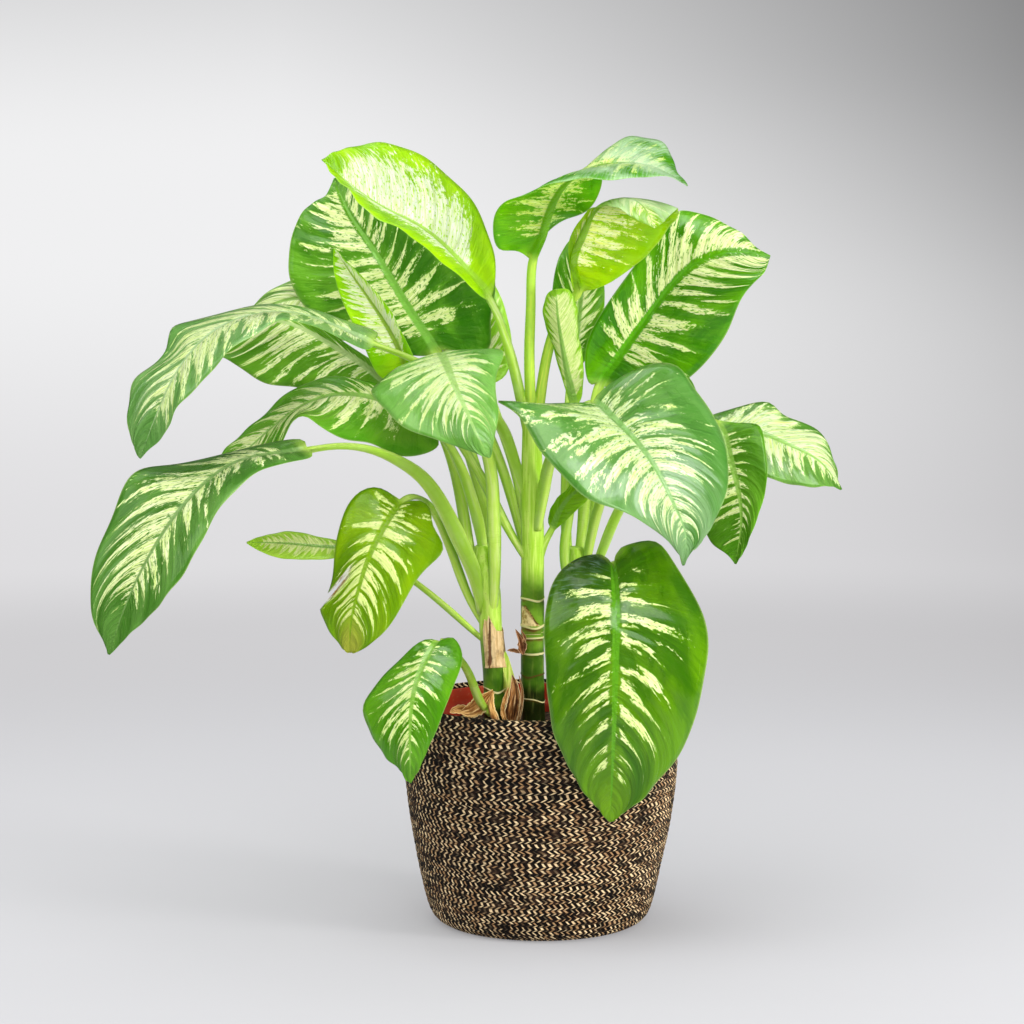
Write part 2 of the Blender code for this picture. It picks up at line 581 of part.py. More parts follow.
def basket_outline():
    """Flat underside, ridged outside wall, rounded rim, smooth inside wall and floor."""
    shape = np.array(BASKET_SHAPE)
    outline = [(0.0, 0.0), (shape[0][0], 0.0)]
    low, high = 4.0, BASKET_HEIGHT - 3.0
    step = (high - low) / ROPE_ROWS
    for k in range(ROPE_ROWS):
        groove = low + k * step
        crest = groove + step * 0.5
        outline.append((float(np.interp(groove, shape[:, 1], shape[:, 0])) - 1.4, groove))
        outline.append((float(np.interp(crest, shape[:, 1], shape[:, 0])), crest))
    outline.append((119.6, high))
    outline.append((118.0, BASKET_HEIGHT))
    outline.append((116.2, BASKET_HEIGHT - 0.8))
    outline.append((115.0, high - 1.5))
    for z in (160.0, 120.0, 84.0, 54.0, 32.0, 20.0):
        outline.append((float(np.interp(z, shape[:, 1], shape[:, 0])) - BASKET_WALL, z))
    outline.append((87.0, 10.5))
    outline.append((80.0, BASKET_FLOOR))
    outline.append((0.0, BASKET_FLOOR))
    return outline


def pot_outline():
    return [(0.0, POT_BASE_Z), (76.0, POT_BASE_Z), (78.0, POT_BASE_Z + 2.0), (101.0, 176.0),
            (106.0, 176.5), (107.0, 191.5), (106.4, POT_TOP_Z), (104.6, POT_TOP_Z),
            (103.8, 178.5), (99.2, 174.5), (76.4, POT_BASE_Z + 3.0), (75.0, POT_BASE_Z + 2.0),
            (0.0, POT_BASE_Z + 2.0)]


def pot_inner_radius(z):
    return float(np.interp(z, (POT_BASE_Z + 3.0, 174.5), (76.4, 99.2)))


def add_soil():
    """Lumpy top, mounded a little towards the canes, on a tapered plug that fills the pot."""
    rng = np.random.default_rng(SEED)
    sides = POT_SIDES
    bottom = POT_BASE_Z + 2.0 + GAP
    radii = (14.0, 32.0, 50.0, 68.0, 84.0, pot_inner_radius(SOIL_Z - 1.0) - GAP)
    points = [(0.0, 0.0, SOIL_Z + 4.0)]
    rings = []
    for n, r in enumerate(radii):
        rings.append(list(range(len(points), len(points) + sides)))
        lump = 2.2 if n < len(radii) - 1 else 0.6
        for j in range(sides):
            a = math.tau * (j + 0.5 * ((n + 1) % 2)) / sides
            rise = 4.0 * math.exp(-(r / 50.0) ** 2) + lump * float(rng.uniform(-0.5, 0.5))
            points.append((r * math.cos(a), r * math.sin(a), SOIL_Z + rise - 0.6))
    for z in (bottom + 1.0, bottom):
        r = pot_inner_radius(bottom + 1.0) - GAP - (1.5 if z == bottom else 0.0)
        rings.append(list(range(len(points), len(points) + sides)))
        for j in range(sides):
            a = math.tau * j / sides
            points.append((r * math.cos(a), r * math.sin(a), z))
    points.append((0.0, 0.0, bottom))
    last = len(points) - 1
    faces = []
    for first, second in zip(rings, rings[1:]):
        band(faces, first, second, split=True)
    for j in range(sides):
        k = (j + 1) % sides
        faces.append((0, rings[0][j], rings[0][k]))
        faces.append((last, rings[-1][j], rings[-1][k]))
    return add("soil", points, faces, (0.06, 0.04, 0.028), 0.95)


def add_sleeve():
    """Dry sheath wrapped round the left cane, open at the back left, with a torn top edge."""
    rng = np.random.default_rng(SEED + 1)
    centre, radius = cane_profile("left")
    low, high = 224.0, 262.0
    points = []
    rings = []
    steps = np.linspace(228.0, 486.0, 14)
    for n, degrees in enumerate(steps):
        a = math.radians(degrees)
        tear = float(rng.uniform(-5.0, 7.0)) + 5.0 * math.sin(a * 1.3)
        if n in (0, len(steps) - 1):
            tear = -9.0
        ring = []
        for z, extra in ((low, 1.0), (low, 2.0), (0.5 * (low + high), 2.3), (high + tear, 2.0),
                         (high + tear, 1.0), (0.5 * (low + high), 1.2)):
            c = [float(np.interp(z, centre[:, 2], centre[:, k])) for k in range(2)]
            r = float(np.interp(z, centre[:, 2], radius)) + extra
            ring.append(len(points))
            points.append((c[0] + r * math.cos(a), c[1] + r * math.sin(a), z))
        rings.append(ring)
    faces = []
    for first, second in zip(rings, rings[1:]):
        band(faces, first, second, split=True)
    for ring in (rings[0], rings[-1]):
        faces.append((ring[0], ring[1], ring[2], ring[5]))
        faces.append((ring[5], ring[2], ring[3], ring[4]))
    return add("dry_sheath", points, faces, (0.62, 0.5, 0.34), 0.8)


def add_scale(name, row, colour):
    """A small curved plate along a path, with a channelled section three points wide."""
    path = np.asarray(row["path"], float)
    line = curve(path[:, :3])[0]
    share = np.linspace(0.0, 1.0, 6)
    middle = resample(line, share)
    along = unit(resample(line, np.minimum(share + 0.03, 1.0)) - resample(line, np.maximum(share - 0.03, 0.0)))
    side = across(np.broadcast_to(np.asarray(row["side"], float), along.shape), along)
    top = np.cross(along, side)
    half = np.interp(share, np.linspace(0.0, 1.0, len(path)), path[:, 3])
    points = []
    for m, s, t, w in zip(middle, side, top, half):
        for x, lift in ((-1.0, 0.0), (0.0, row["bulge"]), (1.0, 0.0)):
            points.append(m + s * w * x + t * (w * lift + 0.45))
        for x, lift in ((1.0, 0.0), (0.0, row["bulge"]), (-1.0, 0.0)):
            points.append(m + s * w * x + t * (w * lift - 0.45))
    faces = []
    for i in range(len(middle) - 1):
        band(faces, list(range(i * 6, i * 6 + 6)), list(range(i * 6 + 6, i * 6 + 12)), split=True)
    for first in (0, (len(middle) - 1) * 6):
        faces.append((first, first + 1, first + 4, first + 5))
        faces.append((first + 1, first + 2, first + 3, first + 4))
    return add(name, points, faces, colour, 0.8)


lathe("basket", basket_outline(), BASKET_SIDES, (0.16, 0.13, 0.1), 0.9)
lathe("nursery_pot", pot_outline(), POT_SIDES, (0.27, 0.06, 0.035), 0.55)
soil = add_soil()
cutters = {key: add_cane("clear_" + key, key, GAP + 0.05) for key in CANES}
for key in CANES:
    add_cane("cane_" + key, key, 0.0, (0.2, 0.4, 0.08))
    cut(soil, cutters[key])
add_sleeve()
for name, row in SCALES.items():
    scale = add_scale(name, row, row["colour"])
    cut(scale, cutters[row["cane"]])
for name, row in LEAVES.items():
    leaf = add_leaf(name, row, (0.13, 0.36, 0.06))
    cut(leaf, cutters[row["cane"]])
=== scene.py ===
# %% [markdown]
# # A potted dieffenbachia in a braided rope basket
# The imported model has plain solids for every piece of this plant: the basket, the pot in it, the
# soil, three canes, their dry sheaths and 24 leaves. This lesson dresses them. Each leaf, each row of
# braid and each cane is worked out again as a fine surface on the same centre lines as its solid,
# and gets a finish made of shader nodes.
# Tables are in millimetres and meshes in metres. The viewer's side of the plant is -Y.

import bpy
import numpy as np
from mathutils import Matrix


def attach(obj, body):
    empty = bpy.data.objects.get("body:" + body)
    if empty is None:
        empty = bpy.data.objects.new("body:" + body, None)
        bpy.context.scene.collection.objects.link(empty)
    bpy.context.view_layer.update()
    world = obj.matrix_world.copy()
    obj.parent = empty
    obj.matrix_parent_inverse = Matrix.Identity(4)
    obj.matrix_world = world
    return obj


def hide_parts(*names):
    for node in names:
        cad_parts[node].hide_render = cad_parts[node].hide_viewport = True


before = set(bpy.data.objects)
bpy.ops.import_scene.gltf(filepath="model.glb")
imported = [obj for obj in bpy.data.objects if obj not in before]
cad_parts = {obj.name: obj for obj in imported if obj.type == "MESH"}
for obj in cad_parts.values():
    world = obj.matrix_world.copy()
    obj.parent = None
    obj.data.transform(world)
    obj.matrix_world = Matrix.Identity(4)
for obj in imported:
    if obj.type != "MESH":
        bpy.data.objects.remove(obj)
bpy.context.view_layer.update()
MM = 0.001
print("solids in the model:", len(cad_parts))

# %% [markdown]
# ## Camera
# The photograph was taken from a little above the plant's middle with a long lens, which was found
# from how flat the ellipses of the basket's rim and foot look. The camera is only aimed, without
# any shift, so other views can reuse it.

# %% Camera
from mathutils import Vector

EYE = Vector((-0.025, -2.40, 0.58))
AIM = Vector((-0.025, 0.0, 0.3605))
camera_data = bpy.data.cameras.new("camera")
camera_data.lens = 97.0
camera_data.sensor_width = 36.0
camera_data.clip_end = 40.0
camera = bpy.data.objects.new("camera", camera_data)
camera.location = EYE
camera.rotation_euler = (AIM - EYE).to_track_quat("-Z", "Y").to_euler()
bpy.context.scene.collection.objects.link(camera)
bpy.context.scene.camera = camera
bpy.context.scene.view_settings.view_transform = "Standard"
print("camera looks", round((AIM - EYE).length, 2), "m to its aim")

# %% [markdown]
# ## Shader nodes in short
# A finish is a small sum of patterns. Writing every node and link in full would hide that sum, so a
# helper adds one node for one call and hands back its output. Outputs can be added and multiplied
# like numbers, and a finish reads like a formula.

# %% A short hand for shader nodes
def srgb(red, green, blue):
    """A colour read off a screen, 0 to 255, as the light values that shaders use."""
    share = np.array([red, green, blue]) / 255.0
    light = np.where(share <= 0.04045, share / 12.92, ((share + 0.055) / 1.055) ** 2.4)
    return (*[float(c) for c in light], 1.0)


class Value:
    """What a node gives out. Each sign in a formula of values adds one Math node."""

    def __init__(self, nodes, socket):
        self.nodes, self.socket = nodes, socket

    def __add__(self, other):
        return self.nodes.math("ADD", self, other)

    def __sub__(self, other):
        return self.nodes.math("SUBTRACT", self, other)

    def __rsub__(self, other):
        return self.nodes.math("SUBTRACT", other, self)

    def __mul__(self, other):
        return self.nodes.math("MULTIPLY", self, other)

    def __truediv__(self, other):
        return self.nodes.math("DIVIDE", self, other)

    def __pow__(self, other):
        return self.nodes.math("POWER", self, other)

    def __abs__(self):
        return self.nodes.math("ABSOLUTE", self)


class Nodes:
    """A tree of shader nodes that is built by calls: each call adds one node."""

    def __init__(self, tree, end):
        tree.nodes.clear()
        self.tree = tree
        self.end = tree.nodes.new(end)

    def put(self, value, socket):
        """Links a value to a socket, or sets a number or a colour on it; None leaves it alone."""
        if isinstance(value, Value):
            self.tree.links.new(value.socket, socket)
        elif value is not None:
            socket.default_value = value

    def outputs(self, kind, *values, **settings):
        """One node and all that it gives out. Values go in the order of its inputs."""
        node = self.tree.nodes.new("ShaderNode" + kind)
        for key, value in settings.items():
            setattr(node, key, value)
        for socket, value in zip([s for s in node.inputs if s.enabled], values):
            self.put(value, socket)
        return [Value(self, s) for s in node.outputs if s.enabled]

    def add(self, kind, *values, out=0, **settings):
        """One node and the output at this place on it."""
        return self.outputs(kind, *values, **settings)[out]

    def math(self, operation, *values, clamp=False):
        return self.add("Math", *values, operation=operation, use_clamp=clamp)

    def step(self, value, low, high):
        """Rises smoothly from 0 to 1 while the value goes from low to high."""
        return self.add("MapRange", value, low, high, 0.0, 1.0, interpolation_type="SMOOTHSTEP")

    def blend(self, share, first, second):
        """The first colour where the share is 0 and the second where it is 1."""
        return self.add("Mix", share, first, second, data_type="RGBA")

    def split(self, vector):
        return self.outputs("SeparateXYZ", vector)

    def parts(self, name):
        """The three numbers that a mesh keeps for each point under this name."""
        return self.split(self.add("Attribute", attribute_name=name, out=1))

    def point(self, x, y, z=0.0):
        return self.add("CombineXYZ", x, y, z)

    def place(self):
        """Where a point is on the object, in metres."""
        return self.add("TexCoord", out=3)

    def noise(self, vector, scale, detail=2.0, rough=0.5):
        """Soft cloud pattern from 0 to 1, most of it between 0.3 and 0.7."""
        return self.add("TexNoise", vector, scale, detail, rough)

    def bump(self, height, strength, depth):
        """Small relief: depth is in metres for a height of one."""
        node = self.tree.nodes.new("ShaderNodeBump")
        for key, value in (("Strength", strength), ("Distance", depth), ("Height", height)):
            self.put(value, node.inputs[key])
        return Value(self, node.outputs[0])

    def surface(self, **sockets):
        """The Principled shader with these sockets set or linked, led to the output."""
        node = self.tree.nodes.new("ShaderNodeBsdfPrincipled")
        for key, value in sockets.items():
            self.put(value, node.inputs[key.replace("_", " ")])
        return self.show(Value(self, node.outputs[0]))

    def show(self, shader):
        """Leads a shader to the output, in place of the last one."""
        self.put(shader, self.end.inputs[0])
        return shader


class Finish(Nodes):
    """The nodes of a new material."""

    def __init__(self, name):
        self.material = bpy.data.materials.new(name)
        self.material.use_nodes = True
        super().__init__(self.material.node_tree, "ShaderNodeOutputMaterial")


print("white on a screen is", srgb(255, 255, 255)[:3])

# %% [markdown]
# ## Floor, backdrop and light
# The photograph was taken on pale paper that curves up behind the plant, under a large soft light
# from above. Here the floor is a disc that takes shadows. Round it a bowl rises, which only the
# camera sees, so that every view ends in plain pale grey and the bowl never keeps light away.

# %% Floor disc and the bowl round it
STAGE_SIDES = 96
FLOOR_RINGS = (0.001, 0.5, 1.2, 2.0, 3.0)
FLOOR_FADE = (1.9, 3.0)   # from the middle in metres: here the floor's tone turns into the bowl's
PAPER_FADE = (0.8, 1.9)   # here paper that takes shadows turns into plain glow
BOWL_PROFILE = [(3.0, 0.0), (3.2, 0.008), (3.5, 0.05), (3.8, 0.15), (4.05, 0.32), (4.25, 0.6),
                (4.35, 1.0), (4.4, 1.8), (4.4, 3.2), (4.4, 6.0)]


def turned_grid(profile, sides):
    """Points of a profile carried round the Z axis: x = r cos a, y = r sin a, z unchanged."""
    r, z = np.asarray(profile, float).T
    angle = np.linspace(0.0, 2.0 * np.pi, sides, endpoint=False)
    ring = np.stack([np.cos(angle), np.sin(angle), np.zeros(sides)], axis=1)
    return r[:, None, None] * ring + z[:, None, None] * np.array([0.0, 0.0, 1.0])


def ring_faces(rows, columns):
    """Four-sided faces between the rings of a grid, whose last column joins the first."""
    i, j = np.meshgrid(np.arange(rows - 1), np.arange(columns), indexing="ij")
    k = (j + 1) % columns
    quads = [i * columns + j, i * columns + k, (i + 1) * columns + k, (i + 1) * columns + j]
    return np.stack(quads, axis=-1).reshape(-1, 4)


def tube_faces(rows, columns):
    """The same, and the two flat faces that close the first and the last ring."""
    ring = np.arange(columns)[None, :]
    return [ring_faces(rows, columns), ring[:, ::-1], (rows - 1) * columns + ring]


def make_mesh(name, points, faces, material, scale=MM, smooth=True):
    """An object at the origin from an array of points and a list of arrays of faces."""
    blocks = [np.asarray(f, dtype=np.int32) for f in (faces if isinstance(faces, list) else [faces])]
    points = np.asarray(points, float).reshape(-1, 3) * scale
    corners = np.concatenate([b.ravel() for b in blocks])
    sizes = np.concatenate([np.full(len(b), b.shape[1]) for b in blocks])
    mesh = bpy.data.meshes.new(name)
    mesh.vertices.add(len(points))
    mesh.vertices.foreach_set("co", points.ravel())
    mesh.loops.add(len(corners))
    mesh.loops.foreach_set("vertex_index", corners)
    mesh.polygons.add(len(sizes))
    mesh.polygons.foreach_set("loop_start", np.r_[0, np.cumsum(sizes)[:-1]].astype(np.int32))
    mesh.polygons.foreach_set("use_smooth", np.full(len(sizes), smooth))
    mesh.update(calc_edges=True)
    mesh.materials.append(material)
    obj = bpy.data.objects.new(name, mesh)
    bpy.context.scene.collection.objects.link(obj)
    return obj


def backdrop_tone(finish, near=None):
    """Pale grey glow, brightest near 0.7 m, with painted shade of right ^ (3 - 1.8 high) * (0.28 + 0.36
    high) * back.

    Right grows with X, high with Z and back with Y. Near is the tone of the floor in front of it, up
    to 1.9 m from the middle.
    """
    x, y, z = finish.split(finish.place())
    tone = finish.blend(finish.step(z, -0.1, 0.6), srgb(222, 221, 223), srgb(240, 240, 241))
    tone = finish.blend(finish.step(z, 0.8, 1.5), tone, srgb(205, 205, 206))
    if near is not None:
        distance = finish.add("VectorMath", finish.place(), operation="LENGTH")
        tone = finish.blend(finish.step(distance, *FLOOR_FADE), near, tone)
    high = finish.step(z, 0.1, 1.1)
    back = finish.step(y, -0.6, 0.9) * 0.75 + 0.25
    right = finish.add("MapRange", x, -0.6, 1.2, 0.0, 1.0)
    shade = right ** (3.0 - high * 1.8) * ((high * 0.36 + 0.28) * back)
    return finish.blend(shade, tone, srgb(12, 11, 12))


floor = Finish("pale_floor")
distance = floor.add("VectorMath", floor.place(), operation="LENGTH")
paper = floor.add("BsdfDiffuse", srgb(184, 183, 185), 0.0)
glow = floor.add("Emission", backdrop_tone(floor, srgb(208, 207, 209)), 1.0)
far = floor.step(distance, *PAPER_FADE) * 0.65 + 0.35
floor.show(floor.add("MixShader", far, paper, glow))

disc = turned_grid([(r, 0.0) for r in FLOOR_RINGS], STAGE_SIDES)
floor_faces = [ring_faces(len(FLOOR_RINGS), STAGE_SIDES)[:, ::-1], np.arange(STAGE_SIDES)[None, :]]
floor_object = make_mesh("floor", disc, floor_faces, floor.material, scale=1.0, smooth=False)

bowl = Finish("pale_bowl")
bowl.show(bowl.add("Emission", backdrop_tone(bowl), 1.0))
bowl_grid = turned_grid(BOWL_PROFILE, STAGE_SIDES)
bowl_faces = ring_faces(len(BOWL_PROFILE), STAGE_SIDES)[:, ::-1]
bowl_object = make_mesh("bowl", bowl_grid, bowl_faces, bowl.material, scale=1.0)
for way in ("diffuse", "glossy", "transmission", "shadow", "volume_scatter"):
    setattr(bowl_object, "visible_" + way, False)
print("floor disc of", FLOOR_RINGS[-1], "m, bowl up to", BOWL_PROFILE[-1][1], "m")

# %% Light
GLOSSY_RAY = 3            # place of that output on the light path node
# For each lamp: its place and aim in metres, its size and its power.
LAMPS = {
    "key_light": ((-0.2, -1.1, 2.5), (0.0, 0.0, 0.3), 1.5, 24.0),
    "overhead_light": ((-0.5, 0.5, 2.6), (0.0, 0.0, 0.3), 1.6, 17.0),
    "left_light": ((-1.8, -0.8, 2.0), (0.0, 0.0, 0.35), 1.4, 18.0),
    "front_light": ((0.4, -3.0, 0.9), (0.0, 0.0, 0.35), 1.5, 44.0),
    "right_light": ((1.9, -0.9, 0.5), (0.0, 0.0, 0.08), 0.5, 40.0),
    "sheen_light": ((0.5, -1.4, 2.6), (0.0, 0.0, 0.4), 1.2, 30.0),
}

world = bpy.data.worlds.new("studio")
world.use_nodes = True
sky = Nodes(world.node_tree, "ShaderNodeOutputWorld")
up = sky.split(sky.add("TexCoord"))[2]
brightness = sky.add("MapRange", up, -0.15, 0.9, 0.58, 0.96, interpolation_type="SMOOTHSTEP")
dimmed = sky.add("MapRange", sky.add("LightPath", out=GLOSSY_RAY), 0.0, 1.0, 1.0, 0.12)
sky.show(sky.add("Background", (0.95, 0.98, 1.0, 1.0), brightness * dimmed))
bpy.context.scene.world = world


def soft_light(name, place, aim, size, watts):
    """A square lamp at a place, turned to its aim, that the camera can't see."""
    data = bpy.data.lights.new(name, "AREA")
    data.shape = "SQUARE"
    data.size = size
    data.energy = watts
    lamp = bpy.data.objects.new(name, data)
    lamp.location = place
    lamp.rotation_euler = (Vector(aim) - Vector(place)).to_track_quat("-Z", "Y").to_euler()
    lamp.visible_camera = False
    bpy.context.scene.collection.objects.link(lamp)
    return lamp


lamps = {name: soft_light(name, *row) for name, row in LAMPS.items()}
for name, ways in (("front_light", ("glossy",)), ("right_light", ("glossy",)),
                   ("sheen_light", ("diffuse", "transmission"))):
    for way in ways:
        setattr(lamps[name], "visible_" + way, False)
print("lamps:", len(lamps))

# %% [markdown]
# ## Curves and surfaces in short
# Every piece below is a grid of points that is worked out as a whole. A few helpers serve them all:
# a smooth curve through table points, points at shares of a curve's length, and the arrows that stand
# square to a surface. The curve is the one that the solids were made with, so looks follow solids.

# %% Curves, arrows and what a mesh keeps for its finish
CURVE_SAMPLES = 20        # points on each span of a curve


def smooth_curve(points, samples=CURVE_SAMPLES):
    """Natural cubic spline: the bend changes evenly from one table point to the next.

    With a and b the shares left and gone of a span of width h, a point is
    p a + q b + (bend_p (a^3 - a) + bend_q (b^3 - b)) h^2 / 6.
    """
    p = np.asarray(points, float)
    span = np.sqrt(np.linalg.norm(np.diff(p, axis=0), axis=1))
    slope = np.diff(p, axis=0) / span[:, None]
    inner = np.arange(1, len(p) - 1)
    system = np.eye(len(p))
    system[inner, inner - 1] = span[:-1]
    system[inner, inner] = 2.0 * (span[:-1] + span[1:])
    system[inner, inner + 1] = span[1:]
    wanted = np.zeros_like(p)
    wanted[inner] = 6.0 * np.diff(slope, axis=0)
    bend = np.linalg.solve(system, wanted)
    b = np.linspace(0.0, 1.0, samples, endpoint=False)[None, :, None]
    a = 1.0 - b
    curved = bend[:-1, None] * (a ** 3 - a) + bend[1:, None] * (b ** 3 - b)
    line = p[:-1, None] * a + p[1:, None] * b + curved * span[:, None, None] ** 2 / 6.0
    return np.vstack([line.reshape(-1, 3), p[-1:]])


def run_of(line):
    """How far it is along the line to each of its points."""
    return np.r_[0.0, np.cumsum(np.linalg.norm(np.diff(line, axis=0), axis=1))]


def along(line, shares):
    """Points at these shares of the line's length; the shares may be a grid."""
    run = run_of(line)
    return np.stack([np.interp(shares, run / run[-1], line[:, k]) for k in range(3)], axis=-1)


def arrow(v):
    """The same direction at length one."""
    return v / np.maximum(np.linalg.norm(v, axis=-1, keepdims=True), 1e-9)


def square_to(v, way):
    """The part of v that is square to a way, at length one."""
    way = arrow(way)
    return arrow(v - np.sum(v * way, axis=-1, keepdims=True) * way)


def normals(sheet):
    """Arrows square to a sheet of points, from its steps down the rows and across the columns."""
    return arrow(np.cross(np.gradient(sheet, axis=0), np.gradient(sheet, axis=1)))


def smooth_step(x):
    """0 below 0, 1 above 1 and 3 x^2 - 2 x^3 between."""
    x = np.clip(x, 0.0, 1.0)
    return x * x * (3.0 - 2.0 * x)


def keep_points(obj, name, values):
    """Keeps three numbers for each point, which a finish reads by name."""
    layer = obj.data.attributes.new(name, "FLOAT_VECTOR", "POINT")
    layer.data.foreach_set("vector", np.ascontiguousarray(values, dtype=np.float32).ravel())


def keep_map(obj, name, u, v):
    """Keeps a flat map: two numbers for each corner of each face."""
    layer = obj.data.uv_layers.new(name=name)
    pairs = np.stack([np.asarray(u).ravel(), np.asarray(v).ravel()], axis=-1)
    layer.data.foreach_set("uv", np.ascontiguousarray(pairs, dtype=np.float32).ravel())


def dress(obj, slot, *nodes):
    """The piece stands for these solids, which it hides, and moves with the whole plant; slot is not used.
    """
    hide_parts(*nodes)
    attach(obj, "root")
    return obj


def triangles(obj):
    return sum(len(p.vertices) - 2 for p in obj.data.polygons)


print("a curve through three points:", smooth_curve([(0, 0, 0), (1, 1, 0), (2, 0, 0)], 4)[:, 1].round(2))

# %% [markdown]
# ## The plant's own measures
# This table was read off the photograph for the solids and is repeated here. A stalk and a rib are
# points on one centre line from the cane to the tip, and left and right are the blade's margins; three
# numbers make a point. Radii are the stalk's at both ends. Sweep says how far the side veins of the
# left and right half run forward on their way out, as a share of the blade's length, and veins how
# far apart they are. Groove and wave are the depths of the veins and of the margin's waves in mm. A
# tear has its side, its share of the length and its depth as a share of the half width.

